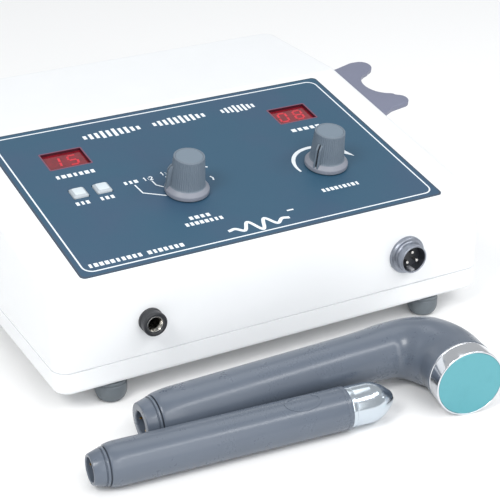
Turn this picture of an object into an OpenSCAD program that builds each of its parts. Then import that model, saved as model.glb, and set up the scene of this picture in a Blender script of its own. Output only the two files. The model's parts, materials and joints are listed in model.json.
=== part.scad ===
// Bench ultrasound therapy unit: a sloped console with its controls, sockets and inner parts,
// a probe cradle on its right side, and two applicators lying on the table in front of it.
// Millimetres, +Z up. Zero is on the table, below the middle of the whole set.
// Inside each module x is measured from the console's middle, y from its front face.

/* [Console case] */
// Width of the case
case_w = 265; // [245:1:325]
// Depth of the case
case_d = 252; // [246:1:310]
// Height of the front face above the case's base
front_h = 57; // [54:0.5:69]
// Height of the back of the case above its base
rear_h = 84.8; // [78:0.1:102]
// Depth of the sloped part of the top
slope_d = 162.3; // [160:0.1:196]
// Height of the base tray's rim
tray_h = 13.9; // [12.5:0.1:16.7]
// Thickness of the case walls
wall = 3; // [2.5:0.1:3.6]
// Radius of the upright corners
corner_r = 9; // [7.5:0.5:11]
// Radius of the soft edges
edge_r = 3.5; // [2.9:0.1:4.2]
// Height of the groove along the parting line
groove = 0.9; // [0.5:0.1:1.4]

/* [Feet] */
// Height of the rubber feet
foot_h = 12.5; // [11:0.5:15]
// Diameter of the rubber feet
foot_d = 17.5; // [16.5:0.5:22]
// Distance of the feet from the front and back
foot_inset = 9.5; // [9.5:0.5:20]

/* [Control panel] */
// Margin between the panel and the case sides
panel_margin = 20.9; // [17:0.1:25]
// Distance of the panel from the front edge, up the slope
panel_s = 12.2; // [10:0.1:16]
// Length of the panel up the slope
panel_l = 146.7; // [144:0.1:150]
// Thickness of the panel
panel_t = 1; // [0.8:0.1:1.4]
// Depth of the recess that the panel lies in
panel_sink = 0.7; // [0.5:0.1:0.8]
// Width of a display window
window_w = 26; // [25:0.5:31]
// Length of a display window up the slope
window_l = 18.5; // [16:0.5:22]
// Distance of the windows from the panel's ends
window_in = 37; // [33:0.5:41]
// Place of the windows up the slope
window_s = 122.8; // [118:0.1:126]
// Side of a square key
key_w = 9; // [7.5:0.1:10.8]
// Distance between the two keys
key_pitch = 14.1; // [13.8:0.1:17]
// Place of the keys up the slope
key_s = 86.6; // [84:0.1:92]
// Travel of a key
key_travel = 0.8; // [0.5:0.1:1]

/* [Knobs] */
// Place of the mode knob across the panel
mode_x = -24.6; // [-30:0.1:0]
// Place of the mode knob up the slope
mode_s = 67.5; // [60:0.1:69]
// Place of the intensity knob across the panel
intensity_x = 63.8; // [50:0.1:66]
// Place of the intensity knob up the slope
intensity_s = 63.7; // [58:0.1:70]
// Diameter of the skirt
skirt_d = 25.2; // [23.5:0.1:30.3]
// Diameter of the grip at its foot
grip_d = 20.2; // [18.4:0.1:21.6]
// Diameter of the grip at its top
grip_top_d = 17.6; // [14.6:0.1:20.2]
// Height of a knob
knob_h = 22.7; // [20:0.1:27.3]
// Diameter of the control shafts
shaft_d = 6; // [5:0.1:6.4]

/* [Sockets] */
// Distance of the front sockets from the case sides
socket_in = 52.9; // [47:0.1:62]
// Height of the front sockets above the case's base
socket_z = 33.5; // [30:0.5:37]
// Diameter of the jack's bushing
jack_d = 13.5; // [12.5:0.1:16.2]
// Diameter of the jack's bore
jack_bore = 6.4; // [6.3:0.05:6.6]
// Length that the jack's bushing stands out
jack_out = 7; // [6:0.5:9]
// Diameter of the probe socket's ring
socket_d = 16.6; // [15.6:0.1:19.9]
// Length that the probe socket stands out
socket_out = 8.2; // [7.8:0.1:10]
// Height of the back fittings above the case's base
rear_z = 37.5; // [34:0.5:43]

/* [Probe cradle] */
// Thickness of the cradle plate
cradle_t = 3.5; // [3:0.1:5]
// Radius of the notch that a handle rests in
notch_r = 15.5; // [14:0.1:18.6]
// Place of the notch up the slope
notch_s = 154.7; // [146:0.1:158]
// Distance of the notch's centre from the case side
notch_out = 31.9; // [29:0.1:38]
// Depth of the plate's top below the sloped top
cradle_drop = 10; // [8:0.5:14]

/* [Large applicator] */
// Radius of the large handle
large_r = 14; // [12.5:0.1:16.8]
// Length from the tail to the corner of the elbow
large_len = 170.7; // [150:0.1:205]
// Length from the corner of the elbow to the treatment face
neck_len = 50.1; // [48:0.1:60]
// Angle that the elbow turns through
elbow_turn = 98.1; // [85:0.1:100]
// Radius of the elbow's centre line
elbow_r = 26; // [24.5:0.5:30]
// Radius of the treatment head
head_r = 18.8; // [17.5:0.1:22.6]
// Length of the head's metal band
band_l = 11; // [9:0.5:13.5]

/* [Small applicator] */
// Radius of the small handle
small_r = 11.3; // [9.8:0.1:12]
// Length of the small applicator
small_len = 163.3; // [140:0.5:194]
// Length of its metal band
small_band = 13; // [11:0.5:15.6]
// Length of its tip beyond the band
small_tip = 13.5; // [11:0.5:16]
// Radius at the end of the tip
tip_r = 4.6; // [3.5:0.1:5.6]

/* [Hidden] */
$fn = 64;

// clearances
gap = 0.3;          // between pieces that move past each other
snug = 0.15;        // between pieces that are assembled and stay put
seat = 0.1;         // between an inner piece and the wall it is fixed to
run_fit = 0.05;     // radial, a shaft in its bore
over = 1;           // how far a cut runs past a face
soft_fn = 32;       // facets of the shells' round corners

// slope of the console's top
slope = atan((rear_h - front_h) / slope_d);

// case
inner_edge_r = 1;
lip_t = 1.4;
lip_h = 4;
vent_w = 3;
vent_l = 26;
vent_pitch = 7;
vent_count = 7;

// panel
panel_w = case_w - 2 * panel_margin;
panel_r = 3;
panel_top = panel_t - panel_sink;
display_top = panel_top - 0.1;
window_x = panel_w / 2 - window_in;
window_t = 0.8;
window_rim = 0.8;
window_depth = 2.2;
key_mid_x = -window_x - 0.05;
key_bevel = 0.7;
key_rise = 2;
key_flange = 1.2;
key_flange_t = 1;
key_stem_d = 3.6;
key_stem_l = 1.7;

// display board, hung below the slope on bosses
board_t = 1.6;
board_h = -11.5;
board_s0 = mode_s + 13.4;
board_l = window_s + 13.6 - board_s0;
display_board_w = 2 * (window_x + 22);
board_edge = 5;
boss_d = 7;
m3_d = 2.9;
m3_head_d = 5.6;
m3_head_h = 2;
m3_l = 7;

// knobs and controls
knob_gap = 0.3;
knob_foot = panel_top + knob_gap;
skirt_h = 4.9;
skirt_rim = 2.6;
recess_d = 15.4;
recess_h = 5;
pointer_w = 3.2;
mode_rest = 166;
intensity_rest = 208;
bush_d = 9.5;
bush_top = 4.8;
nut_flat = 12;
nut_t = 2.4;
shaft_foot = -9;
shaft_in_knob = 16;
switch_d = 24.6;
switch_l = 16;
pot_d = 24;
pot_l = 10;

// front sockets
socket_x = case_w / 2 - socket_in;
sleeve_d = 9;
funnel_l = 2;
jack_box = 16;
jack_box_l = 18;
socket_flange_d = 22;
socket_flange_t = 2.6;
socket_wall = 1;
socket_depth = 5.6;
pin_d = 2;
pin_ring = 3.7;
socket_tail = 14;
socket_nut_flat = 20;

// probe cradle
tip_rear_r = 6.7;
tip_front_r = 5.8;
tip_back = 3.4;
tip_rear_s = notch_s + notch_r + 7.8;
tip_front_s = notch_s - notch_r - 8.2;
root_rear_s = tip_rear_s + 2.6;
root_front_s = tip_front_s - 14;
tab_t = 3.2;
tab_h = 15;
cradle_screw_d = 4;
cradle_screw_in = 14;

// board and parts on the floor of the tray
floor_z = foot_h + wall;
standoff_h = 8;
main_w = 150;
main_l = 100;
main_x = 32;
main_y = 118;
main_z = floor_z + standoff_h;
main_top = main_z + board_t;
core_w = 66;
core_h = 55;
core_t = 30;
core_leg = 11;
core_x = -case_w / 2 + 58;
core_y = case_d - 55;
sink_w = 62;
sink_h = 34;
sink_t = 20;
sink_x = main_x + 22;
sink_y = main_y + main_l / 2 - sink_t - 4;

// M4 screws that hold the feet and close the case
m4_d = 4;
m4_head_d = 7;
m4_head_h = 2.6;
m4_l = 14;
tower_d = 10.5;
tower_x = case_w / 2 - 12.5;
tower_front_y = 46;
tower_rear_y = case_d - 44;
tower_bore_h = 6;
foot_bore_h = 6;
foot_side = 33;
foot_dome = 3.8;
foot_round = 6.5;

// back fittings
inlet_x = -case_w / 2 + 44;
inlet_w = 27;
inlet_h = 20;
inlet_rim = 2.2;
inlet_depth = 17;
rocker_x = inlet_x + 42;
rocker_w = 10.5;
rocker_r = 8.2;
rocker_tilt = 8;
rocker_body_w = rocker_w + 2 * gap + 2;
rocker_body_h = 2 * (rocker_r + gap) + 2;
fuse_x = rocker_x + 36;
fuse_cap_d = 14;
fuse_out = 10.3;
fuse_bore = 8.4;
fuse_body_d = 12.6;
vent_x = case_w / 2 - 60;

// applicators
shell_t = 2.4;
sweep_sides = 32;
tail_l = 8.3;
large_tail_r = 10.5;
small_tail_r = 7.7;
tail_bore_r = 6.2;
tail_depth = 5.5;
tail_pin_d = 1.2;
tail_pin_ring = 4.3;
shoulder_l = 12;
spigot_l = 5;
crystal_t = 2.2;
large_x = -105.3;
large_y = -40.8;
large_turn = -2;
small_x = -142.5;
small_y = -63.35;
small_turn = -4.79;

// the large applicator rests on its handle's tail end and on the rim of its head
face_x = large_len + neck_len * cos(elbow_turn);
head_spigot_r = head_r - shell_t - 1.1;
large_tilt = asin((head_r - large_r) / (face_x - tail_l - shoulder_l));
large_z = large_r - (tail_l + shoulder_l) * sin(large_tilt);

// the middle of the whole set
set_left = small_x + small_tail_r * sin(small_turn);
set_right = case_w / 2 + notch_out - tip_back + tip_rear_r;
face_turn = elbow_turn - large_turn;
set_front = large_y + large_len * sin(large_turn) - neck_len * sin(face_turn) - head_r * abs(cos(face_turn));
set_back = case_d + fuse_out;
mid_x = (set_left + set_right) / 2;
mid_y = (set_front + set_back) / 2;

module shift() {
  translate([-mid_x, -mid_y, 0]) children();
}

// x across the panel, s up the slope from the front edge, h above the sloped top
module on_slope(x = 0, s = 0, h = 0) {
  shift() translate([0, 0, foot_h + front_h]) rotate([slope, 0, 0]) translate([x, s, h]) children();
}

// +Z of the children points out of the front face
module on_front(x, z) {
  shift() translate([x, 0, foot_h + z]) rotate([90, 0, 0]) children();
}

// +Z of the children points out of the back face
module on_back(x) {
  shift() translate([x, case_d, foot_h + rear_z]) rotate([-90, 0, 0]) children();
}

module rounded_rect(w, l, r) {
  square([w - 2 * r, l], center = true);
  square([w, l - 2 * r], center = true);
  for (x = [-1, 1], y = [-1, 1])
    translate([x * (w / 2 - r), y * (l / 2 - r)]) circle(r);
}

module box_at(w, l, h) {
  translate([-w / 2, -l / 2, 0]) cube([w, l, h]);
}

module tube(d_out, d_in, h) {
  difference() {
    cylinder(d = d_out, h = h);
    translate([0, 0, -over]) cylinder(d = d_in, h = h + 2 * over);
  }
}

module hexagon(flat, h) {
  cylinder(d = flat / cos(30), h = h, $fn = 6);
}

module pillar(z0, ring_z, r, e) {
  translate([0, 0, min(z0, ring_z)]) cylinder(r = r, h = abs(ring_z - z0), $fn = soft_fn);
  translate([0, 0, ring_z]) rotate_extrude($fn = soft_fn) translate([r - e, 0]) circle(e, $fn = soft_fn);
}

// outside of the upper case, or its inside when inset is the wall
module upper_form(z0, inset, e) {
  r = corner_r - inset;
  front_ring = front_h - (inset + e) / cos(slope) + (inset + e) * tan(slope);
  bend_y = slope_d + (inset + e) * tan(slope / 2) + r - e;
  hull()
    for (side = [-1, 1])
      translate([side * (case_w / 2 - corner_r), 0, 0]) {
        translate([0, corner_r, 0]) pillar(z0, front_ring, r, e);
        translate([0, bend_y, 0]) pillar(z0, rear_h - inset - e, r, e);
        translate([0, case_d - corner_r, 0]) pillar(z0, rear_h - inset - e, r, e);
      }
}

// outside of the tray, or its inside when inset is the wall
module tray_form(z1, inset, e) {
  hull()
    for (side = [-1, 1], y = [corner_r, case_d - corner_r])
      translate([side * (case_w / 2 - corner_r), y, 0]) pillar(z1, inset + e, corner_r - inset, e);
}

module plan(inset) {
  translate([0, case_d / 2]) rounded_rect(case_w - 2 * inset, case_d - 2 * inset, corner_r - inset);
}

module at_feet() {
  for (side = [-1, 1], y = [foot_inset, case_d - foot_inset])
    translate([side * (case_w / 2 - foot_side), y, 0]) children();
}

module at_towers() {
  for (side = [-1, 1], y = [tower_front_y, tower_rear_y])
    translate([side * tower_x, y, 0]) children();
}

module at_standoffs() {
  for (x = [-1, 1], y = [-1, 1])
    translate([main_x + x * (main_w / 2 - board_edge), main_y + y * (main_l / 2 - board_edge), 0]) children();
}

module at_display_bosses() {
  for (side = [-1, 1], s = [board_s0 + board_edge, board_s0 + board_l - board_edge])
    translate([side * (display_board_w / 2 - board_edge), s, 0]) children();
}

module at_keys() {
  for (side = [-1, 1]) translate([key_mid_x + side * key_pitch / 2, key_s, 0]) children();
}

module at_windows() {
  for (side = [-1, 1]) translate([side * window_x, window_s, 0]) children();
}

module at_knobs() {
  translate([mode_x, mode_s, 0]) children();
  translate([intensity_x, intensity_s, 0]) children();
}

module vents(y0, along_y) {
  for (k = [0 : vent_count - 1])
    translate([(k - (vent_count - 1) / 2) * vent_pitch, y0, 0])
      rotate([along_y ? 0 : 90, 0, 0]) linear_extrude(wall * 4, center = true)
        rounded_rect(vent_w, vent_l, vent_w / 2 - 0.01);
}

function ceiling(y) = min(front_h + y * tan(slope) - wall / cos(slope), rear_h - wall);

module upper_case() {
  color("whitesmoke") {
    difference() {
      union() {
        shift() translate([0, 0, foot_h]) difference() {
          upper_form(tray_h, 0, edge_r);
          upper_form(tray_h - over, wall, inner_edge_r);
        }
        shift() translate([0, 0, foot_h]) upper_towers();
        on_slope() at_display_bosses() translate([0, 0, board_h])
          cylinder(d = boss_d, h = -board_h - wall / 2);
      }
      on_slope(0, panel_s + panel_l / 2, -panel_sink)
        linear_extrude(wall) rounded_rect(panel_w + 2 * snug, panel_l + 2 * snug, panel_r + snug);
      on_slope() at_windows() translate([0, 0, -2 * wall])
        box_at(window_w + 2 * snug, window_l + 2 * snug, 3 * wall);
      on_slope() at_keys() translate([0, 0, -2 * wall]) box_at(key_w + 2 * gap, key_w + 2 * gap, 3 * wall);
      on_slope() at_knobs() translate([0, 0, -2 * wall]) cylinder(d = bush_d + 2 * snug, h = 3 * wall);
      on_slope() at_display_bosses() translate([0, 0, board_h - over])
        cylinder(d = m3_d + 2 * run_fit, h = m3_l + over);
      on_front(-socket_x, socket_z) cylinder(d = sleeve_d + 2 * snug, h = 3 * wall, center = true);
      on_front(socket_x, socket_z) cylinder(d = socket_d + 2 * snug, h = 3 * wall, center = true);
      on_back(inlet_x) translate([0, 0, -2 * wall])
        box_at(inlet_w + 2 * snug, inlet_h + 2 * snug, 3 * wall);
      on_back(rocker_x) translate([0, 0, -2 * wall])
        box_at(rocker_body_w + 2 * snug, rocker_body_h + 2 * snug, 3 * wall);
      on_back(fuse_x) translate([0, 0, -2 * wall]) cylinder(d = fuse_body_d + 2 * snug, h = 3 * wall);
      shift() translate([vent_x, 0, foot_h + rear_z]) vents(case_d, false);
      at_cradle_screws() cylinder(d = cradle_screw_d + 2 * snug, h = 4 * wall, center = true);
      shift() translate([0, 0, foot_h]) at_towers() translate([0, 0, tray_h - over])
        cylinder(d = m4_d + 2 * run_fit, h = m4_l + over);
    }
  }
}

module upper_towers() {
  for (side = [-1, 1], y = [tower_front_y, tower_rear_y])
    translate([side * tower_x, y, tray_h]) cylinder(d = tower_d, h = ceiling(y) + wall / 2 - tray_h);
}

module lower_case() {
  color("whitesmoke") shift() translate([0, 0, foot_h]) difference() {
    union() {
      difference() {
        tray_form(tray_h, 0, edge_r);
        tray_form(tray_h + over, wall, inner_edge_r);
        translate([0, 0, tray_h - groove]) linear_extrude(groove + over) difference() {
          plan(-over);
          plan(groove);
        }
      }
      // lip that locates the upper case
      translate([0, 0, wall / 2]) linear_extrude(tray_h + lip_h - wall / 2) difference() {
        plan(wall + snug);
        plan(wall + snug + lip_t);
      }
      translate([0, 0, wall / 2]) at_feet() cylinder(d = tower_d - 1, h = wall / 2 + 5.5);
      translate([0, 0, wall / 2]) at_towers() cylinder(d = tower_d, h = tray_h - wall / 2);
      translate([0, 0, wall / 2]) at_standoffs() cylinder(d = boss_d, h = wall / 2 + standoff_h);
    }
    at_feet() translate([0, 0, -over]) cylinder(d = m4_d + 2 * run_fit, h = wall + 5.5 + over - 0.8);
    at_towers() translate([0, 0, -over]) cylinder(d = m4_d + 2 * snug, h = tray_h + 2 * over);
    at_towers() translate([0, 0, -over]) cylinder(d = m4_head_d + 2 * gap, h = tower_bore_h + over);
    at_standoffs() translate([0, 0, wall]) cylinder(d = m3_d + 2 * run_fit, h = standoff_h + over);
    // the upper case's towers pass inside the lip
    translate([0, 0, tray_h]) at_towers() cylinder(d = tower_d + 2 * snug, h = lip_h + over);
    translate([main_x, main_y, 0]) vents(0, true);
    translate([core_x, core_y, 0]) vents(0, true);
  }
}

module feet() {
  foot_r = foot_d / 2;
  color("dimgray") shift() at_feet() difference() {
    rotate_extrude() polygon(concat(
      [[0, 0]],
      [for (a = [0 : 10 : 90]) [foot_r - foot_dome * (1 - sin(a)), foot_round * (1 - cos(a))]],
      [[foot_r, foot_h - 1.5], [foot_r - 0.8, foot_h], [0, foot_h]]
    ));
    translate([0, 0, -over]) cylinder(d = m4_head_d + 2 * snug, h = foot_bore_h + over);
    cylinder(d = m4_d + 2 * snug, h = foot_h + over);
  }
}

module m4_screw() {
  cylinder(d = m4_d, h = m4_l);
  translate([0, 0, -m4_head_h]) cylinder(d = m4_head_d, h = m4_head_h);
}

// the screws' shanks reach into the bosses from the seats of their heads
module base_screws() {
  color("silver") shift() {
    at_feet() translate([0, 0, foot_bore_h]) m4_screw();
    at_towers() translate([0, 0, foot_h + tower_bore_h]) m4_screw();
  }
}

module control_panel() {
  color("#50708a") on_slope(0, 0, -panel_sink) linear_extrude(panel_t) difference() {
    translate([0, panel_s + panel_l / 2]) rounded_rect(panel_w, panel_l, panel_r);
    at_windows() square([window_w + 2 * run_fit, window_l + 2 * run_fit], center = true);
    at_keys() square([key_w + 2 * gap, key_w + 2 * gap], center = true);
    at_knobs() circle(d = bush_d + 2 * snug);
  }
}

module window_pane(side) {
  color("#8c1428") on_slope(side * window_x, window_s, display_top - window_depth)
    box_at(window_w - 2 * window_rim - 2 * run_fit, window_l - 2 * window_rim - 2 * run_fit, window_t);
}

module minutes_window() {
  window_pane(-1);
}

module intensity_window() {
  window_pane(1);
}

// a dark housing with a pocket for the pane
module display(side) {
  color("#401015") on_slope(side * window_x, window_s, board_h) difference() {
    box_at(window_w, window_l, display_top - board_h);
    translate([0, 0, display_top - board_h - window_depth])
      box_at(window_w - 2 * window_rim, window_l - 2 * window_rim, window_depth + over);
  }
}

module minutes_display() {
  display(-1);
}

module intensity_display() {
  display(1);
}

module key_cap(side) {
  foot = -wall - gap;
  color("white") on_slope(key_mid_x + side * key_pitch / 2, key_s) {
    hull() {
      translate([0, 0, foot - key_flange_t])
        box_at(key_w, key_w, panel_top + key_rise - key_bevel - foot + key_flange_t);
      translate([0, 0, panel_top + key_rise - key_bevel])
        box_at(key_w - 2 * key_bevel, key_w - 2 * key_bevel, key_bevel);
    }
    translate([0, 0, foot - key_flange_t])
      box_at(key_w + 2 * key_flange, key_w + 2 * key_flange, key_flange_t);
    translate([0, 0, foot - key_flange_t - key_stem_l]) cylinder(d = key_stem_d, h = key_stem_l);
  }
}

module set_button() {
  key_cap(-1);
}

module reset_button() {
  key_cap(1);
}

module key_switches() {
  top = -wall - gap - key_flange_t - key_stem_l - key_travel - gap;
  color("black") on_slope() at_keys() translate([0, 0, board_h]) {
    box_at(6, 6, top - board_h - 0.8);
    cylinder(d = 3.2, h = top - board_h);
  }
}

module display_board() {
  color("darkgreen") on_slope(0, 0, board_h - board_t) difference() {
    translate([-display_board_w / 2, board_s0, 0]) cube([display_board_w, board_l, board_t]);
    at_display_bosses() translate([0, 0, -over]) cylinder(d = m3_d + 2 * snug, h = board_t + 2 * over);
  }
}

module m3_screw(l) {
  cylinder(d = m3_d, h = l);
  translate([0, 0, l]) cylinder(d = m3_head_d, h = m3_head_h);
}

module board_screws() {
  color("silver") {
    on_slope() at_display_bosses() translate([0, 0, board_h - board_t])
      rotate([180, 0, 0]) translate([0, 0, -m3_l]) m3_screw(m3_l);
    shift() at_standoffs() translate([0, 0, main_top - m3_l]) m3_screw(m3_l);
  }
}

// a knob with its pointer turned to the angle at rest
module knob(x, s, rest) {
  color("#7d8791") on_slope(x, s, knob_foot) difference() {
    union() {
      cylinder(d = skirt_d, h = skirt_rim);
      translate([0, 0, skirt_rim]) cylinder(d1 = skirt_d, d2 = grip_d + 1, h = skirt_h - skirt_rim);
      translate([0, 0, skirt_h]) cylinder(d1 = grip_d, d2 = grip_top_d, h = knob_h - skirt_h);
      // the pointer is a fin that runs out to the skirt's rim
      rotate([90, 0, rest]) linear_extrude(pointer_w, center = true) polygon([
        [recess_d / 2, skirt_rim], [skirt_d / 2, skirt_rim],
        [skirt_d / 2 - 0.9, knob_h * 0.64], [grip_d / 2 - 0.3, knob_h * 0.77], [recess_d / 2, knob_h * 0.77]
      ]);
    }
    translate([0, 0, -over]) cylinder(d = recess_d, h = recess_h + over);
    cylinder(d = shaft_d + 2 * run_fit, h = shaft_in_knob + 0.5);
  }
}

module mode_knob() {
  knob(mode_x, mode_s, mode_rest);
}

module intensity_knob() {
  knob(intensity_x, intensity_s, intensity_rest);
}

module shaft(x, s) {
  color("silver") on_slope(x, s, shaft_foot) cylinder(d = shaft_d, h = knob_foot + shaft_in_knob - shaft_foot);
}

module mode_shaft() {
  shaft(mode_x, mode_s);
}

module intensity_shaft() {
  shaft(intensity_x, intensity_s);
}

// a rotary switch or potentiometer under the wall, with its threaded bush
module control_body(x, s, d, l) {
  color("gray") on_slope(x, s) difference() {
    union() {
      translate([0, 0, -wall - seat - l]) cylinder(d = d, h = l);
      translate([0, 0, -wall - seat - l / 2]) cylinder(d = bush_d, h = bush_top + wall + seat + l / 2);
      for (k = [-1, 0, 1])
        translate([k * 4 - 0.5, -d / 2 + 1, -wall - seat - l - 4]) cube([1, 1, 4.5]);
    }
    translate([0, 0, shaft_foot - gap]) cylinder(d = shaft_d + 2 * run_fit, h = bush_top - shaft_foot + over);
  }
}

module mode_switch() {
  control_body(mode_x, mode_s, switch_d, switch_l);
}

module intensity_pot() {
  control_body(intensity_x, intensity_s, pot_d, pot_l);
}

module control_nut(x, s) {
  color("silver") on_slope(x, s, panel_top) difference() {
    hexagon(nut_flat, nut_t);
    translate([0, 0, -over]) cylinder(d = bush_d + 2 * run_fit, h = nut_t + 2 * over);
  }
}

module mode_nut() {
  control_nut(mode_x, mode_s);
}

module intensity_nut() {
  control_nut(intensity_x, intensity_s);
}

module jack_bushing() {
  color("#202022") on_front(-socket_x, socket_z) tube(jack_d, sleeve_d + 2 * run_fit, jack_out);
}

// the sleeve's mouth widens so that it guides the plug in
module jack_sleeve() {
  mouth = jack_out - 0.8;
  color("silver") on_front(-socket_x, socket_z) difference() {
    translate([0, 0, -wall - 12]) tube(sleeve_d, jack_bore, wall + 12 + mouth);
    translate([0, 0, mouth - funnel_l])
      cylinder(d1 = jack_bore, d2 = sleeve_d - 0.5, h = funnel_l + 0.01);
  }
}

module jack_body() {
  color("#303034") on_front(-socket_x, socket_z) translate([0, 0, -wall - seat - jack_box_l]) difference() {
    box_at(jack_box, jack_box, jack_box_l);
    translate([0, 0, 2]) cylinder(d = sleeve_d + 2 * snug, h = jack_box_l);
  }
}

module socket_shell() {
  color("#9aa0a8") on_front(socket_x, socket_z) difference() {
    union() {
      translate([0, 0, -socket_tail]) cylinder(d = socket_d, h = socket_tail + socket_out);
      cylinder(d = socket_flange_d, h = socket_flange_t);
    }
    translate([0, 0, -socket_tail - over])
      cylinder(d = socket_d - 2 * socket_wall, h = socket_tail + socket_out + 2 * over);
  }
}

module at_pins(ring) {
  for (a = [90, 210, 330]) rotate([0, 0, a]) translate([ring, 0, 0]) children();
}

module socket_insert() {
  color("#202022") on_front(socket_x, socket_z) translate([0, 0, -socket_tail + over]) difference() {
    cylinder(d = socket_d - 2 * socket_wall - 2 * run_fit, h = socket_tail - over + socket_out - socket_depth);
    at_pins(pin_ring) translate([0, 0, -over]) cylinder(d = pin_d + 2 * run_fit, h = socket_tail + socket_out);
  }
}

module socket_pins() {
  color("silver") on_front(socket_x, socket_z) at_pins(pin_ring) translate([0, 0, -socket_tail - 3])
    cylinder(d = pin_d, h = socket_tail + 3 + socket_out - 1.8);
}

module socket_nut() {
  color("silver") on_front(socket_x, socket_z) translate([0, 0, -wall - seat - 3]) difference() {
    hexagon(socket_nut_flat, 3);
    translate([0, 0, -over]) cylinder(d = socket_d + 2 * run_fit, h = 3 + 2 * over);
  }
}

module cradle_outline() {
  x0 = case_w / 2;
  xc = x0 + notch_out;
  difference() {
    union() {
      polygon([
        [x0, root_front_s + 1], [x0 + 9.5, root_front_s + 1.8], [x0 + 17.5, root_front_s + 6],
        [xc - tip_back, tip_front_s - tip_front_r], [xc - tip_back, tip_rear_s + tip_rear_r],
        [x0 + 23.5, tip_rear_s + tip_rear_r + 0.2], [x0 + 9.5, root_rear_s], [x0, root_rear_s - 1]
      ]);
      translate([xc - tip_back, tip_rear_s]) circle(tip_rear_r);
      translate([xc - tip_back, tip_front_s]) circle(tip_front_r);
    }
    translate([xc, notch_s]) circle(notch_r);
  }
}

// the screws go through the cradle's tab and the case wall
module at_cradle_screws() {
  for (s = [root_front_s + cradle_screw_in, root_rear_s - cradle_screw_in])
    on_slope(case_w / 2, s, -cradle_drop - cradle_t - tab_h / 2) rotate([0, 90, 0]) children();
}

module probe_cradle() {
  color("#6f7486") difference() {
    union() {
      on_slope(0, 0, -cradle_drop - cradle_t) linear_extrude(cradle_t) cradle_outline();
      on_slope(case_w / 2, root_front_s + 2, -cradle_drop - cradle_t - tab_h)
        cube([tab_t, root_rear_s - root_front_s - 4, tab_h + cradle_t / 2]);
    }
    at_cradle_screws() cylinder(d = cradle_screw_d + 2 * snug, h = 4 * wall, center = true);
  }
}

module cradle_screws() {
  color("silver") at_cradle_screws() {
    translate([0, 0, -wall - 5]) cylinder(d = cradle_screw_d, h = wall + 5 + tab_t);
    translate([0, 0, tab_t]) cylinder(d = m4_head_d, h = m4_head_h);
    translate([0, 0, -wall - seat - 3]) difference() {
      hexagon(m4_head_d, 3);
      translate([0, 0, -over]) cylinder(d = cradle_screw_d - 1, h = 3 + 2 * over);
    }
  }
}

module main_board() {
  color("darkgreen") shift() difference() {
    translate([main_x, main_y, main_z]) box_at(main_w, main_l, board_t);
    at_standoffs() translate([0, 0, main_z - over]) cylinder(d = m3_d + 2 * snug, h = board_t + 2 * over);
  }
}

module transformer_core() {
  color("#55585c") shift() translate([core_x, core_y, floor_z]) difference() {
    translate([0, 0, 0]) box_at(core_w, core_t, core_h);
    for (side = [-1, 1])
      translate([side * core_leg * 1.5, 0, core_leg])
        box_at(core_leg, core_t + 2 * over, core_h - 2 * core_leg);
  }
}

module transformer_coil() {
  coil_h = core_h - 2 * core_leg - 2 * snug;
  coil_w = core_leg * 4 - 2 * snug;
  color("#b5651d") shift() translate([core_x, core_y, floor_z + core_leg + snug]) difference() {
    linear_extrude(coil_h) rounded_rect(coil_w, core_t + 2 * core_leg - 2, 5);
    translate([0, 0, -over]) box_at(core_leg * 2 + 2 * snug, core_t + 2 * snug, coil_h + 2 * over);
  }
}

// the fins stand on a flat plate at the back edge of the board
module heat_sink() {
  fin_t = 1.6;
  fin_gap = 4.5;
  color("#b8bcc0") shift() translate([sink_x, sink_y, main_top]) {
    translate([-sink_w / 2, 0, 0]) cube([sink_w, 4, sink_h]);
    for (x = [-sink_w / 2 : fin_t + fin_gap : sink_w / 2 - fin_t])
      translate([x, 3.5, 0]) cube([fin_t, sink_t - 3.5, sink_h]);
  }
}

module power_transistors() {
  color("#202022") shift()
    for (x = [-16, 16])
      translate([sink_x + x, sink_y - seat, main_top]) {
        translate([-5, -1.3, 8]) cube([10, 1.3, 15]);
        translate([-5, -4.5, 8]) cube([10, 4, 9]);
        for (k = [-1, 0, 1]) translate([k * 2.5 - 0.4, -3, 0]) cube([0.8, 0.6, 9]);
      }
}

module capacitors() {
  color("#1d2f5e") shift() translate([main_x, main_y, main_top]) {
    for (k = [0, 1]) translate([-main_w / 2 + 18 + k * 22, main_l / 2 - 16, 0]) cylinder(d = 18, h = 32);
    for (k = [0 : 3]) translate([main_w / 2 - 14 - k * 14, main_l / 2 - 34, 0]) cylinder(d = 8, h = 12);
  }
}

module tuning_coil() {
  color("#c08030") shift() translate([main_x + main_w / 2 - 26, main_y - main_l / 2 + 24, main_top + 5])
    rotate_extrude() translate([10, 0]) circle(4.5);
}

module control_chips() {
  color("#202022") shift() translate([main_x, main_y, main_top]) {
    translate([-30, -20, 0.5]) box_at(52, 14, 4);
    translate([-34, 4, 0.5]) box_at(26, 7, 3.6);
    translate([0, 4, 0.5]) box_at(26, 7, 3.6);
    for (p = [[-30, -20], [-34, 4], [0, 4]]) translate([p[0], p[1], 0]) box_at(8, 4, 0.6);
  }
}

// flat cable from the main board up to the underside of the display board
module ribbon_cable() {
  ribbon_w = 26;
  ribbon_t = 1;
  foot_y = main_y - main_l / 2 + 6;
  rise_s = board_s0 + 6;
  top_y = rise_s * cos(slope) - (board_h - board_t) * sin(slope);
  top_z = foot_h + front_h + rise_s * sin(slope) + (board_h - board_t) * cos(slope);
  color("#b0b4ba") shift() translate([-ribbon_w / 2 - 4, 0, 0]) rotate([90, 0, 90]) linear_extrude(ribbon_w)
    polygon([
      [foot_y, main_top], [foot_y + ribbon_t, main_top],
      [foot_y + ribbon_t, main_top + 12], [top_y + ribbon_t, top_z - 12],
      [top_y + ribbon_t, top_z - 0.1], [top_y, top_z - 0.3],
      [top_y, top_z - 12], [foot_y, main_top + 12]
    ]);
}

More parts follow.
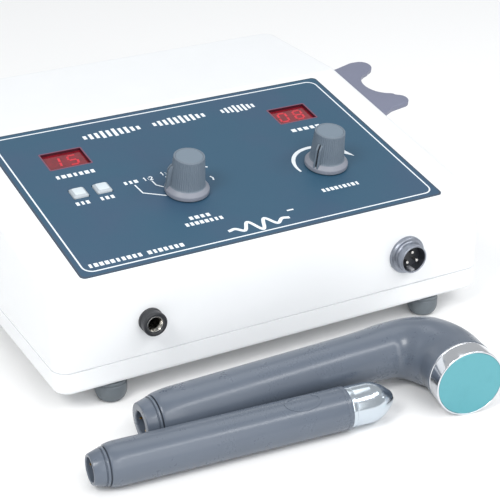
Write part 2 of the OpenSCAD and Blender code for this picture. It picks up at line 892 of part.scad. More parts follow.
module mains_inlet() {
  color("#202022") on_back(inlet_x) difference() {
    union() {
      translate([0, 0, -inlet_depth - 1]) box_at(inlet_w, inlet_h, inlet_depth + 1);
      box_at(inlet_w + 4, inlet_h + 4, 2.4);
    }
    translate([0, 0, -inlet_depth + 2.4])
      box_at(inlet_w - 2 * inlet_rim, inlet_h - 2 * inlet_rim, inlet_depth + over);
    at_blades() translate([0, 0, -inlet_depth - over - 1])
      box_at(2 + 2 * run_fit, 4 + 2 * run_fit, inlet_depth);
  }
}

// two line blades and the earth blade above them
module at_blades() {
  for (p = [[-7, 0.5], [7, 0.5], [0, -3.6]]) translate([p[0], p[1], 0]) children();
}

module mains_inlet_pins() {
  color("silver") on_back(inlet_x) at_blades() translate([0, 0, -inlet_depth - 7])
    box_at(2, 4, inlet_depth + 5);
}

module rocker_frame() {
  color("#202022") on_back(rocker_x) difference() {
    union() {
      translate([0, 0, -14]) box_at(rocker_body_w, rocker_body_h, 14);
      box_at(rocker_body_w + 2.4, rocker_body_h + 2.4, 1.8);
      for (k = [-1, 0, 1]) translate([-2.4, k * 6 - 0.4, -20]) cube([4.8, 0.8, 7]);
    }
    translate([0, 0, -10]) box_at(rocker_w + 2 * gap, 2 * (rocker_r + gap), 20);
  }
}

// a shallow V-shaped rocker that tips about a line across its frame
module rocker_switch() {
  pivot = -1;
  reach = rocker_r + 1;
  color("#c02020") on_back(rocker_x) translate([0, 0, pivot]) rotate([rocker_tilt, 0, 0])
    rotate([0, 90, 0]) intersection() {
      cylinder(r = rocker_r, h = rocker_w, center = true);
      linear_extrude(rocker_w + over, center = true) polygon([
        [-3, 0], [-3 - reach * tan(rocker_tilt), reach], [reach, reach],
        [reach, -reach], [-3 - reach * tan(rocker_tilt), -reach]
      ]);
    }
}

module fuse_holder() {
  color("#202022") on_back(fuse_x) difference() {
    union() {
      translate([0, 0, -34]) cylinder(d = fuse_body_d, h = 34);
      cylinder(d = fuse_body_d + 3.4, h = 2);
    }
    translate([0, 0, -32]) cylinder(d = fuse_bore, h = 32 + 2 + over);
  }
}

module fuse_cap() {
  color("#202022") on_back(fuse_x) difference() {
    union() {
      translate([0, 0, 2 + gap]) cylinder(d = fuse_cap_d, h = fuse_out - 2 - gap);
      translate([0, 0, -8]) cylinder(d = fuse_bore - 2 * run_fit, h = 10 + gap + 1);
    }
    translate([0, 0, -8 - over]) cylinder(d = 5.4, h = 8);
    translate([0, 0, fuse_out - 2]) box_at(10, 1.6, 2 + over);
  }
}

module fuse() {
  color("lightgray") on_back(fuse_x) translate([0, 0, -21.4]) cylinder(d = 5.2, h = 20);
}

// the applicators are drawn along +X from the end of the tail
module place_large() {
  shift() translate([large_x, large_y, large_z]) rotate([0, -large_tilt, large_turn]) children();
}

module place_small() {
  shift() translate([small_x, small_y, small_r]) rotate([0, 0, small_turn]) children();
}

module along_x(x) {
  translate([x, 0, 0]) rotate([0, 90, 0]) children();
}

// ring of points square to the direction dir in the plane of the applicator
function ring_at(c, dir, r) = [
  for (k = [0 : sweep_sides - 1])
    let (a = 360 * k / sweep_sides)
    [c[0] - r * cos(a) * sin(dir), c[1] + r * cos(a) * cos(dir), r * sin(a)]
];

// closed surface through a list of [centre, direction, radius]
module swept(stations) {
  n = sweep_sides;
  last = len(stations) - 1;
  points = [for (st = stations) each ring_at(st[0], st[1], st[2])];
  sides = [
    for (i = [0 : last - 1], k = [0 : n - 1])
      let (a = i * n + k, b = i * n + (k + 1) % n)
      each [[a, b + n, b], [a, a + n, b + n]]
  ];
  start_cap = [for (k = [0 : n - 1]) k];
  end_cap = [for (k = [n - 1 : -1 : 0]) last * n + k];
  polyhedron(points, concat([start_cap], sides, [end_cap]));
}

// smooth step from 0 to 1
function ease(t) = t * t * (3 - 2 * t);

// how far the large handle has widened towards its head, from the elbow's start to its end
function elbow_swell(t) = 0.2 + 0.72 * ease(min(1, t / 0.6));

// the large handle runs straight, widens as it turns through the elbow and ends in the neck
function large_path(thin, seam_x, end_gap) =
  let (
    reach = elbow_r * tan(elbow_turn / 2),
    arc_x = large_len - reach,
    neck = neck_len - band_l - end_gap,
    widening = head_r - large_r,
    run_up = 24,
    steps = 14
  )
  concat(
    [[[seam_x, 0], 0, large_r - 1.1 - thin]],
    [for (t = [0.3, 0.6, 1])
      [[tail_l + shoulder_l * t, 0], 0, large_r - 1.1 * (1 - t) * (1 - t) - thin]],
    [for (t = [0, 0.4, 0.7])
      [[arc_x - run_up * (1 - t), 0], 0, large_r + widening * elbow_swell(0) * t * t - thin]],
    [for (k = [0 : steps])
      let (a = elbow_turn * k / steps)
      [
        [arc_x + elbow_r * sin(a), -elbow_r * (1 - cos(a))], -a,
        large_r + widening * elbow_swell(k / steps) - thin
      ]],
    [for (t = [0.5, 1])
      let (d = reach + (neck - reach) * t)
      [
        [large_len + d * cos(elbow_turn), -d * sin(elbow_turn)], -elbow_turn,
        large_r + widening * (elbow_swell(1) * (1 - t) + t) - thin
      ]]
  );

module large_handle() {
  color("#6e7687") place_large() difference() {
    swept(large_path(0, tail_l, 0));
    swept(large_path(shell_t, tail_l - over, -over));
  }
}

// a tapered collar with an open recess, and a spigot that enters the handle
module tail_cap(inner_r, root_r, end_r) {
  difference() {
    union() {
      along_x(0) cylinder(r1 = end_r, r2 = root_r - 1.6, h = tail_l - 1.9);
      along_x(tail_l - 1.9) cylinder(r = root_r - 1.2, h = 1.2);
      along_x(tail_l - 1) cylinder(r = inner_r - snug, h = spigot_l + 1);
    }
    along_x(-over) cylinder(r = tail_bore_r, h = tail_l + spigot_l + 2 * over);
  }
}

module tail_socket() {
  difference() {
    along_x(tail_depth) cylinder(r = tail_bore_r - run_fit, h = tail_l + spigot_l - tail_depth);
    along_x(0) at_pins(tail_pin_ring) cylinder(d = tail_pin_d + 2 * run_fit, h = tail_l + spigot_l + over);
  }
}

module tail_pins() {
  along_x(1.6) at_pins(tail_pin_ring) cylinder(d = tail_pin_d, h = tail_l + spigot_l + 1);
}

module large_tail_cap() {
  color("#6e7687") place_large() tail_cap(large_r - 1.1 - shell_t, large_r - 0.6, large_tail_r);
}

module large_tail_socket() {
  color("#202022") place_large() tail_socket();
}

module large_tail_pins() {
  color("gold") place_large() tail_pins();
}

// +Z of the children points out of the treatment face, which is at their zero
module at_face() {
  place_large() translate([face_x, -neck_len * sin(elbow_turn), 0])
    rotate([0, 0, -elbow_turn]) rotate([0, 90, 0]) children();
}

module large_head() {
  face_t = 2;
  color("#d8dce0") at_face() difference() {
    union() {
      translate([0, 0, -band_l]) cylinder(r = head_r, h = band_l);
      translate([0, 0, -band_l - spigot_l]) cylinder(r = head_spigot_r, h = spigot_l + 0.5);
    }
    translate([0, 0, -band_l - spigot_l - over])
      cylinder(r = head_spigot_r - 1.4, h = band_l + spigot_l + over - face_t);
  }
}

module large_crystal() {
  color("#d9c9a0") at_face() translate([0, 0, -2 - crystal_t]) cylinder(r = head_r - 6.5, h = crystal_t);
}

module small_handle() {
  end_x = small_len - small_tip - small_band;
  color("#6e7687") place_small() difference() {
    union() {
      along_x(tail_l) cylinder(r1 = small_r - 0.8, r2 = small_r, h = shoulder_l / 2);
      along_x(tail_l + shoulder_l / 2) cylinder(r = small_r, h = end_x - tail_l - shoulder_l / 2);
    }
    along_x(tail_l - over) cylinder(r = small_r - shell_t, h = end_x - tail_l + 2 * over);
  }
}

module small_tail_cap() {
  color("#6e7687") place_small() tail_cap(small_r - shell_t, small_r - 0.3, small_tail_r);
}

module small_tail_socket() {
  color("#202022") place_small() tail_socket();
}

module small_tail_pins() {
  color("gold") place_small() tail_pins();
}

// a metal band that narrows through a soft shoulder to a blunt tip
module small_head() {
  band_r = small_r - 0.55;
  tip_round = 1.8;
  steps = 8;
  start_x = small_len - small_tip - small_band;
  color("#d8dce0") place_small() difference() {
    union() {
      along_x(start_x - spigot_l) cylinder(r = small_r - shell_t - snug, h = spigot_l + 1);
      along_x(start_x) rotate_extrude() polygon(concat(
        [[0, 0], [band_r, 0], [band_r, small_band]],
        [for (k = [1 : steps])
          let (t = k / steps)
          [tip_r + (band_r - tip_r) * (1 - pow(t, tip_round)), small_band + (small_tip - 1.5) * t]],
        [[tip_r - 1.2, small_band + small_tip - 0.4], [tip_r - 2.4, small_band + small_tip],
         [0, small_band + small_tip]]
      ));
    }
    along_x(start_x - spigot_l - over) cylinder(r = small_r - shell_t - snug - 1.4, h = spigot_l + small_band);
  }
}

module small_crystal() {
  face = small_len - small_tip - over;
  color("#d9c9a0") place_small() along_x(face - crystal_t) cylinder(r = small_r - shell_t - 2, h = crystal_t);
}

upper_case();
lower_case();
feet();
base_screws();
control_panel();
minutes_window();
intensity_window();
minutes_display();
intensity_display();
set_button();
reset_button();
key_switches();
display_board();
board_screws();
mode_knob();
mode_shaft();
mode_switch();
mode_nut();
intensity_knob();
intensity_shaft();
intensity_pot();
intensity_nut();
jack_bushing();
jack_sleeve();
jack_body();
socket_shell();
socket_insert();
socket_pins();
socket_nut();
probe_cradle();
cradle_screws();
main_board();
transformer_core();
transformer_coil();
heat_sink();
power_transistors();
capacitors();
tuning_coil();
control_chips();
ribbon_cable();
mains_inlet();
mains_inlet_pins();
rocker_frame();
rocker_switch();
fuse_holder();
fuse_cap();
fuse();
large_handle();
large_tail_cap();
large_tail_socket();
large_tail_pins();
large_head();
large_crystal();
small_handle();
small_tail_cap();
small_tail_socket();
small_tail_pins();
small_head();
small_crystal();
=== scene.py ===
"""Bench ultrasound therapy unit: a sloped console with two knobs, a probe cradle and two applicators.

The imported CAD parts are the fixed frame. Each class below builds one sub-assembly around them in
the same frame, gives it a procedural finish and lets it ride on the body that it moves with.
Lengths are in millimetres until a mesh, a camera or a light is made, which is in metres.
"""

import json
import logging
import math
import random
from dataclasses import dataclass, field
from enum import Enum
from typing import Callable, Iterable, Optional, Sequence, Union

import bmesh
import bpy
from mathutils import Matrix, Vector


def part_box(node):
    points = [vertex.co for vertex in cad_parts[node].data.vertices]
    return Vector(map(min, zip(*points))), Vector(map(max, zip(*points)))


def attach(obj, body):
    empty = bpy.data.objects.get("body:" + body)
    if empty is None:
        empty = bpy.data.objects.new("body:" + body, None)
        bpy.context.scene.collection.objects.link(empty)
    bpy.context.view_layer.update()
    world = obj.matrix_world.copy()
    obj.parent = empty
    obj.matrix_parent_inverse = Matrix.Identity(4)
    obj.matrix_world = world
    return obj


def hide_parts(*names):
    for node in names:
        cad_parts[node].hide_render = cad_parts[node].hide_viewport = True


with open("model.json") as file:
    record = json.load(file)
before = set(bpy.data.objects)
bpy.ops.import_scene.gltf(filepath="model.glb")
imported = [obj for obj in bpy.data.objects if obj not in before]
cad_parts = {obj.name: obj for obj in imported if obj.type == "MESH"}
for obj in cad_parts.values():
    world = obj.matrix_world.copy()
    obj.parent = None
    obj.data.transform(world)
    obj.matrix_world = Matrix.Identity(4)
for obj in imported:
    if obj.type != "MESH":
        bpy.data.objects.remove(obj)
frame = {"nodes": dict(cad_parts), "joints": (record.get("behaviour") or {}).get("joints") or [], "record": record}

log = logging.getLogger("console")
MM = 0.001
MODE_KNOB_S = 67.5
WAVE_PERIOD = math.tau / 20
Point2 = tuple[float, float]
Circle = tuple[float, float, float]
Colour = tuple[float, float, float]


# ---------------------------------------------------------------- shader maths


class Signal:
    """One shader output that takes part in plain arithmetic."""

    def __init__(self, graph: "Graph", socket: bpy.types.NodeSocket) -> None:
        """Wraps a socket of the graph."""
        self.graph = graph
        self.socket = socket

    def __add__(self, other: "Value") -> "Signal":
        """Sum of the two."""
        return self.graph.maths("ADD", self, other)

    __radd__ = __add__

    def __sub__(self, other: "Value") -> "Signal":
        """This less the other."""
        return self.graph.maths("SUBTRACT", self, other)

    def __rsub__(self, other: "Value") -> "Signal":
        """The other less this."""
        return self.graph.maths("SUBTRACT", other, self)

    def __mul__(self, other: "Value") -> "Signal":
        """Product of the two."""
        return self.graph.maths("MULTIPLY", self, other)

    __rmul__ = __mul__

    def ease(self, low: float, high: float) -> "Signal":
        """Nought below low, one above high and smooth between."""
        return self.graph.node(
            "ShaderNodeMapRange",
            {"interpolation_type": "SMOOTHSTEP"},
            {"Value": self, "From Min": low, "From Max": high},
        )


Value = Union[Signal, float]


class Graph:
    """Builds one material's nodes."""

    def __init__(self, name: str) -> None:
        """Starts an empty material with an output."""
        self.material = bpy.data.materials.new(name)
        self.material.use_nodes = True
        self.tree = self.material.node_tree
        self.tree.nodes.clear()

    def node(self, kind: str, settings: dict, inputs: dict, output: Union[int, str] = 0) -> Signal:
        """Adds any node.

        Args:
            kind: The node's type.
            settings: Its own settings, which are set first.
            inputs: Values or signals by the name or number of the socket.
            output: The output that is wanted.

        Returns:
            The output as a signal.
        """
        made = self.tree.nodes.new(kind)
        for key, value in settings.items():
            setattr(made, key, value)
        for key, value in inputs.items():
            if isinstance(value, Signal):
                self.tree.links.new(value.socket, made.inputs[key])
            elif isinstance(value, tuple) and len(value) == 3 and made.inputs[key].type == "RGBA":
                made.inputs[key].default_value = (*value, 1.0)
            else:
                made.inputs[key].default_value = value
        return Signal(self, made.outputs[output])

    def maths(self, operation: str, first: Value, second: Value) -> Signal:
        """One Math node on two values."""
        return self.node("ShaderNodeMath", {"operation": operation}, {0: first, 1: second})

    def mix(self, factor: Value, low: Union[Signal, Colour], high: Union[Signal, Colour]) -> Signal:
        """Mixes two colours by a factor."""
        settings = {"data_type": "RGBA", "clamp_factor": True}
        return self.node("ShaderNodeMix", settings, {0: factor, 6: low, 7: high}, 2)

    def place(self) -> Signal:
        """The piece's own coordinates in metres."""
        return self.node("ShaderNodeTexCoord", {}, {}, "Object")

    def noise(self, where: Signal, size_mm: float, detail: float = 3.0, rough: float = 0.5) -> Signal:
        """Soft noise whose blobs are about size_mm across."""
        inputs = {"Vector": where, "Scale": 1.0 / (size_mm * MM), "Detail": detail, "Roughness": rough}
        return self.node("ShaderNodeTexNoise", {}, inputs, "Fac")

    def cells(self, where: Signal, size_mm: float) -> Signal:
        """Distance in a pattern of cells about size_mm across."""
        inputs = {"Vector": where, "Scale": 1.0 / (size_mm * MM)}
        return self.node("ShaderNodeTexVoronoi", {}, inputs, "Distance")

    def lines(self, where: Signal, pitch_mm: float, axis: str, wobble: float) -> Signal:
        """Smooth parallel lines at a pitch along one axis."""
        scale = WAVE_PERIOD / (pitch_mm * MM)
        inputs = {"Vector": where, "Scale": scale, "Distortion": wobble, "Detail": 1.0}
        return self.node("ShaderNodeTexWave", {"bands_direction": axis}, inputs, "Fac")

    def rings(self, where: Signal, pitch_mm: float, axis: str, wobble: float) -> Signal:
        """Smooth rings at a pitch about one axis."""
        scale = WAVE_PERIOD / (pitch_mm * MM)
        inputs = {"Vector": where, "Scale": scale, "Distortion": wobble, "Detail": 2.0}
        settings = {"wave_type": "RINGS", "rings_direction": axis}
        return self.node("ShaderNodeTexWave", settings, inputs, "Fac")

    def bump(self, height: Signal, depth_mm: float, strength: float = 1.0) -> Signal:
        """Normal of a surface whose relief is depth_mm."""
        inputs = {"Strength": strength, "Distance": depth_mm * MM, "Height": height}
        return self.node("ShaderNodeBump", {}, inputs, "Normal")

    def surface(self, inputs: dict) -> bpy.types.Material:
        """Closes the graph with a Principled surface.

        Args:
            inputs: Values or signals by socket name.

        Returns:
            The finished material.
        """
        shader = self.node("ShaderNodeBsdfPrincipled", {}, inputs)
        out = self.tree.nodes.new("ShaderNodeOutputMaterial")
        self.tree.links.new(shader.socket, out.inputs["Surface"])
        return self.material


def tone(red: float, green: float, blue: float) -> Colour:
    """Linear colour from display values up to 255."""
    def linear(v: float) -> float:
        """One display value made linear."""
        v /= 255.0
        return v / 12.92 if v <= 0.04045 else ((v + 0.055) / 1.055) ** 2.4
    return linear(red), linear(green), linear(blue)


def shade(colour: Colour, factor: float) -> Colour:
    """The colour made darker or lighter."""
    return tuple(min(1.0, c * factor) for c in colour)


# -------------------------------------------------------------------- finishes


MADE: dict[str, bpy.types.Material] = {}


@dataclass(frozen=True)
class Finish:
    """A finish with a name, a colour and a roughness, made once and then shared."""

    name: str
    colour: Colour
    roughness: float = 0.4

    def build(self) -> bpy.types.Material:
        """Makes the material, which each kind of finish does in its own way."""
        raise NotImplementedError

    def material(self) -> bpy.types.Material:
        """The material, built at the first call."""
        if self.name not in MADE:
            MADE[self.name] = self.build()
        return MADE[self.name]


@dataclass(frozen=True)
class Plastic(Finish):
    """Moulded plastic with a fine skin texture, faint mottling and handling smudges."""

    grain_mm: float = 0.55
    depth_mm: float = 0.015
    mottle: float = 0.04
    coat: float = 0.0
    specular: float = 0.5
    speckle: float = 0.0

    def build(self) -> bpy.types.Material:
        """Makes the material."""
        g = Graph(self.name)
        where = g.place()
        cloud = g.noise(where, 34.0, 4.0, 0.6)
        dust = g.noise(where, 1.6, 3.0, 0.7)
        base = g.mix(cloud, shade(self.colour, 1 - self.mottle), shade(self.colour, 1 + self.mottle))
        if self.speckle:
            spots = dust.ease(0.62, 0.74) * self.speckle
            base = g.mix(spots, base, shade(self.colour, 1.5))
        smudge = g.noise(where, 18.0, 5.0, 0.65).ease(0.42, 0.72)
        skin = g.noise(where, self.grain_mm, 4.0, 0.6) * 0.7 + g.cells(where, self.grain_mm * 1.4) * 0.5
        inputs = {
            "Base Color": base,
            "Roughness": self.roughness - 0.05 + smudge * 0.1 + dust * 0.05,
            "Specular IOR Level": self.specular,
            "Coat Weight": self.coat,
            "Coat Roughness": 0.12,
            "Normal": g.bump(skin, self.depth_mm, 0.6),
        }
        return g.surface(inputs)


@dataclass(frozen=True)
class Film(Finish):
    """Printed polycarbonate film: velvet texture with a slow drift of hue."""

    drift: Colour = (0.1, 0.1, 0.2)

    def build(self) -> bpy.types.Material:
        """Makes the material."""
        g = Graph(self.name)
        where = g.place()
        cloud = g.noise(where, 55.0, 3.0, 0.5).ease(0.35, 0.65)
        fine = g.noise(where, 0.4, 2.0, 0.6)
        base = g.mix(cloud * 0.55, self.colour, self.drift)
        base = g.mix(fine * 0.12, base, shade(self.colour, 1.35))
        inputs = {
            "Base Color": base,
            "Roughness": self.roughness + g.noise(where, 22.0) * 0.08,
            "Normal": g.bump(fine, 0.012, 0.5),
        }
        return g.surface(inputs)


@dataclass(frozen=True)
class Metal(Finish):
    """Turned, plated or rolled metal, with fine lines square to an axis or in rings about it."""

    line_mm: float = 0.25
    axis: str = "Z"
    depth_mm: float = 0.004
    tarnish: float = 0.12
    rings: bool = False

    def build(self) -> bpy.types.Material:
        """Makes the material."""
        g = Graph(self.name)
        where = g.place()
        stain = g.noise(where, 7.0, 5.0, 0.65).ease(0.45, 0.75)
        if self.rings:
            relief = g.rings(where, self.line_mm, self.axis, 0.6)
        else:
            relief = g.lines(where, self.line_mm, self.axis, 0.4)
        scratch = g.noise(where, 0.3, 4.0, 0.7)
        inputs = {
            "Base Color": g.mix(stain * self.tarnish, self.colour, shade(self.colour, 0.55)),
            "Metallic": 1.0,
            "Roughness": self.roughness + stain * 0.08 + relief * 0.05,
            "Normal": g.bump(relief * 0.7 + scratch * 0.3, self.depth_mm, 0.5),
        }
        return g.surface(inputs)


@dataclass(frozen=True)
class RedPane(Finish):
    """Red filter over light-emitting digits: a deep gloss with uneven light behind it."""

    glow: float = 0.3

    def build(self) -> bpy.types.Material:
        """Makes the material."""
        g = Graph(self.name)
        where = g.place()
        uneven = g.noise(where, 5.0, 3.0, 0.6).ease(0.3, 0.7)
        grid = g.noise(where, 1.1, 2.0, 0.5)
        base = g.mix(uneven, shade(self.colour, 0.72), shade(self.colour, 1.18))
        base = g.mix(grid * 0.35, base, shade(self.colour, 0.6))
        inputs = {
            "Base Color": base,
            "Roughness": self.roughness + grid * 0.06,
            "Emission Color": g.mix(uneven, shade(self.colour, 0.6), self.colour),
            "Emission Strength": self.glow,
            "Coat Weight": 0.6,
            "Coat Roughness": 0.05,
            "Normal": g.bump(grid, 0.01, 0.3),
        }
        return g.surface(inputs)


@dataclass(frozen=True)
class Ink(Finish):
    """Screen-printed ink with a slightly uneven film."""

    def build(self) -> bpy.types.Material:
        """Makes the material."""
        g = Graph(self.name)
        where = g.place()
        film = g.noise(where, 0.9, 4.0, 0.6)
        inputs = {
            "Base Color": g.mix(film.ease(0.3, 0.7) * 0.35, self.colour, shade(self.colour, 0.8)),
            "Roughness": self.roughness + film * 0.1,
            "Normal": g.bump(film, 0.006, 0.4),
        }
        return g.surface(inputs)


@dataclass(frozen=True)
class Board(Finish):
    """Circuit board: solder mask over copper tracks, with tinned pads."""

    def build(self) -> bpy.types.Material:
        """Makes the material."""
        g = Graph(self.name)
        where = g.place()
        tracks = g.lines(where, 2.4, "X", 6.0).ease(0.62, 0.7)
        across = g.lines(where, 3.6, "Y", 8.0).ease(0.7, 0.78)
        copper = g.maths("MAXIMUM", tracks, across)
        pads = 1 - g.cells(where, 3.2).ease(0.16, 0.2)
        base = g.mix(copper, self.colour, shade(self.colour, 1.9))
        base = g.mix(pads, base, tone(190, 190, 178))
        inputs = {
            "Base Color": base,
            "Metallic": pads * 0.9,
            "Roughness": self.roughness - pads * 0.15 + g.noise(where, 6.0) * 0.1,
            "Normal": g.bump(copper + pads, 0.05, 0.7),
        }
        return g.surface(inputs)


@dataclass(frozen=True)
class Winding(Finish):
    """Close turns of wire, or stacked sheets, as fine even lines along one axis."""

    pitch_mm: float = 0.6
    axis: str = "Z"
    metallic: float = 0.8

    def build(self) -> bpy.types.Material:
        """Makes the material."""
        g = Graph(self.name)
        where = g.place()
        turns = g.lines(where, self.pitch_mm, self.axis, 0.3)
        age = g.noise(where, 9.0, 4.0, 0.6)
        base = g.mix(turns, shade(self.colour, 0.45), self.colour)
        inputs = {
            "Base Color": g.mix(age.ease(0.5, 0.75) * 0.4, base, shade(self.colour, 0.5)),
            "Metallic": self.metallic,
            "Roughness": self.roughness + age * 0.15,
            "Normal": g.bump(turns, 0.12, 0.8),
        }
        return g.surface(inputs)


@dataclass(frozen=True)
class StudioPaper(Finish):
    """Seamless paper of the studio floor, with a faint tooth."""

    def build(self) -> bpy.types.Material:
        """Makes the material."""
        g = Graph(self.name)
        where = g.place()
        tooth = g.noise(where, 1.5, 3.0, 0.6)
        inputs = {
            "Base Color": g.mix(tooth * 0.2, self.colour, shade(self.colour, 0.98)),
            "Roughness": self.roughness + tooth * 0.05,
            "Specular IOR Level": 0.1,
        }
        return g.surface(inputs)


class Look(Enum):
    """The finishes of the set, each under the material slot that it belongs to."""

    CASE_WHITE = Plastic("case_white", tone(238, 240, 242), 0.34, 0.5, 0.008, 0.012, 0.15)
    FOOT_RUBBER = Plastic("foot_rubber", tone(96, 104, 110), 0.45, 0.6, 0.03, 0.12, speckle=0.25)
    SCREW_STEEL = Metal("screw_steel", tone(176, 178, 182), 0.3, 0.3)
    PANEL_BLUE = Film("panel_blue", tone(42, 80, 104), 0.5, tone(54, 76, 103))
    WINDOW_RED = RedPane("window_red", tone(122, 12, 30), 0.16, 0.1)
    DISPLAY_DARK = Plastic("display_dark", tone(72, 16, 34), 0.4, 0.4, 0.01, 0.1)
    KEY_WHITE = Plastic("key_white", tone(206, 216, 222), 0.36, 0.4, 0.006, 0.01, 0.2)
    BLACK_PLASTIC = Plastic("black_plastic", tone(38, 40, 44), 0.38, 0.5, 0.015, 0.1, speckle=0.15)
    BOARD_GREEN = Board("board_green", tone(22, 84, 52), 0.4)
    KNOB_GREY = Plastic("knob_grey", tone(107, 119, 131), 0.42, 0.35, 0.01, 0.05, 0.1)
    NICKEL = Metal("nickel", tone(205, 203, 198), 0.18, 0.4)
    CONNECTOR_GREY = Metal("connector_grey", tone(148, 153, 163), 0.34, 0.35, "Z", 0.01, 0.3)
    CRADLE_GREY = Plastic("cradle_grey", tone(116, 120, 140), 0.42, 0.5, 0.012, 0.06, 0.1)
    HANDLE_GREY = Plastic("handle_grey", tone(91, 100, 113), 0.3, 0.45, 0.014, 0.06, 0.2)
    BRIGHT_CHROME = Metal("bright_chrome", tone(228, 230, 234), 0.1, 0.5, "Z", 0.004, 0.06)
    CONTACT_GOLD = Metal("contact_gold", tone(226, 178, 92), 0.2, 0.3)
    CORE_STEEL = Winding("core_steel", tone(118, 120, 124), 0.45, 0.7, "Y", 0.7)
    WINDING_COPPER = Winding("winding_copper", tone(184, 104, 58), 0.35, 0.6, "Z", 0.85)
    SINK_ALUMINIUM = Metal("sink_aluminium", tone(186, 189, 193), 0.36, 0.6, "Z", 0.01)
    CAPACITOR_BLUE = Plastic("capacitor_blue", tone(28, 46, 98), 0.28, 0.7, 0.008, 0.08, 0.4)
    RIBBON_GREY = Winding("ribbon_grey", tone(178, 180, 186), 0.5, 1.27, "X", 0.0)
    ROCKER_RED = Plastic("rocker_red", tone(176, 32, 36), 0.28, 0.5, 0.008, 0.05, 0.4)
    FUSE_GLASS = Metal("fuse_glass", tone(206, 214, 214), 0.12, 0.9, "Y")
    CERAMIC = Plastic("ceramic", tone(222, 208, 176), 0.5, 0.3, 0.01, 0.05)


INK_WHITE = Ink("ink_white", tone(236, 242, 247), 0.5)
# Dark grey line printed round the overlay's rim: painted shadow of the recess that the panel sits in.
RIM_PAINTED_SHADOW = Ink("rim_painted_shadow", tone(66, 76, 90), 0.5)
WINDOW_RIM = Ink("window_rim", tone(120, 76, 98), 0.42)
DIGIT_RED = RedPane("digit_red", tone(196, 26, 46), 0.16, 0.34)
# A darker copy of the key's white for the key's sides: painted shade.
KEY_SIDE_PAINTED_SHADE = Plastic("key_side_painted_shade", tone(176, 184, 190), 0.4, 0.4, 0.006, 0.02)
# A paler copy of the knob's grey for the disc on its top: painted light where the top faces the lamps.
KNOB_TOP_PAINTED_LIGHT = Plastic("knob_cap", tone(114, 128, 141), 0.46, 0.3, 0.008, 0.04)
POINTER_DARK = Plastic("pointer_dark", tone(24, 28, 38), 0.5, 0.4, 0.01, 0.08)
# A paler copy of the knob's grey for the collar on the skirt: painted light on the skirt's lit face.
SKIRT_PAINTED_LIGHT = Plastic("skirt_painted_light", tone(134, 138, 149), 0.45, 0.35, 0.01, 0.05)
HEAD_CHROME = Metal("head_chrome", tone(228, 230, 234), 0.1, 0.5, "Y", 0.004, 0.06)
FACE_METAL = Metal("face_metal", tone(112, 177, 186), 0.32, 0.4, "Y", 0.003, 0.05, True)
TIP_METAL = Metal("tip_metal", tone(205, 214, 222), 0.12, 0.45, "X", 0.004, 0.08)
KEYWAY_GREY = Plastic("keyway_grey", tone(150, 152, 156), 0.4, 0.3, 0.01, 0.05)
PAPER = StudioPaper("studio_paper", (0.93, 0.93, 0.93), 0.9)


# ------------------------------------------------------------------ mesh forms


def fillet(path: Sequence[tuple], closed: bool = False, steps: int = 5) -> list[Point2]:
    """Rounds the corners of a flat path.

    Args:
        path: Points (a, b) or (a, b, radius); a point without a radius stays sharp.
        closed: Whether the last point joins the first.
        steps: Facets in each rounded corner.

    Returns:
        The path's points with arcs in place of the corners.
    """
    out: list[Point2] = []
    count = len(path)
    for i, p in enumerate(path):
        radius = p[2] if len(p) > 2 else 0.0
        here = Vector(p[:2])
        if radius <= 0 or (not closed and i in (0, count - 1)):
            out.append((here.x, here.y))
            continue
        back = Vector(path[i - 1][:2]) - here
        ahead = Vector(path[(i + 1) % count][:2]) - here
        half = back.angle(ahead) / 2
        if half > math.radians(88) or half < math.radians(2):
            out.append((here.x, here.y))
            continue
        reach = min(radius / math.tan(half), 0.48 * back.length, 0.48 * ahead.length)
        radius = reach * math.tan(half)
        centre = here + (back.normalized() + ahead.normalized()).normalized() * (radius / math.sin(half))
        start = here + back.normalized() * reach - centre
        turn = start.angle_signed(here + ahead.normalized() * reach - centre)
        for k in range(steps + 1):
            a = -turn * k / steps
            out.append((
                centre.x + start.x * math.cos(a) - start.y * math.sin(a),
                centre.y + start.x * math.sin(a) + start.y * math.cos(a),
            ))
    return out


def rounded_rectangle(width: float, length: float, radius: float, steps: int = 6) -> list[Point2]:
    """Outline of a rectangle about nought with round corners."""
    w, l = width / 2, length / 2
    return fillet([(w, -l, radius), (w, l, radius), (-w, l, radius), (-w, -l, radius)], True, steps)


def arc(centre: Point2, radius: float, start: float, end: float, step: float = 5.0) -> list[Point2]:
    """Points of an arc between two angles in degrees."""
    count = max(2, int(abs(end - start) / step) + 1)
    angles = [math.radians(start + (end - start) * k / (count - 1)) for k in range(count)]
    return [(centre[0] + radius * math.cos(a), centre[1] + radius * math.sin(a)) for a in angles]


def softened(outline: Sequence[Point2], spacing: float, passes: int) -> list[Point2]:
    """The closed outline sampled evenly, with its corners eased by a few smoothing passes."""
    ends = [Vector(p) for p in outline]
    total = sum((ends[i] - ends[i - 1]).length for i in range(len(ends)))
    count = int(total / spacing)
    points: list[Vector] = []
    walked, target = 0.0, 0.0
    for i in range(len(ends)):
        a, b = ends[i], ends[(i + 1) % len(ends)]
        span = (b - a).length
        while target <= walked + span and len(points) < count:
            points.append(a.lerp(b, (target - walked) / span if span else 0.0))
            target += total / count
        walked += span
    for _ in range(passes):
        points = [
            (points[i - 1] + points[i] * 2 + points[(i + 1) % len(points)]) / 4 for i in range(len(points))
        ]
    return [(p.x, p.y) for p in points]


def inset(outline: Sequence[Point2], distance: float) -> list[Point2]:
    """The closed outline moved inwards, corner by corner; it runs anticlockwise."""
    points = [Vector(p) for p in outline]
    out = []
    for i, here in enumerate(points):
        before = (here - points[i - 1]).normalized()
        after = (points[(i + 1) % len(points)] - here).normalized()
        along = (before + after).normalized()
        inward = Vector((-along.y, along.x))
        lean = max(0.5, along.dot(after))
        moved = here + inward * (distance / lean)
        out.append((moved.x, moved.y))
    return out


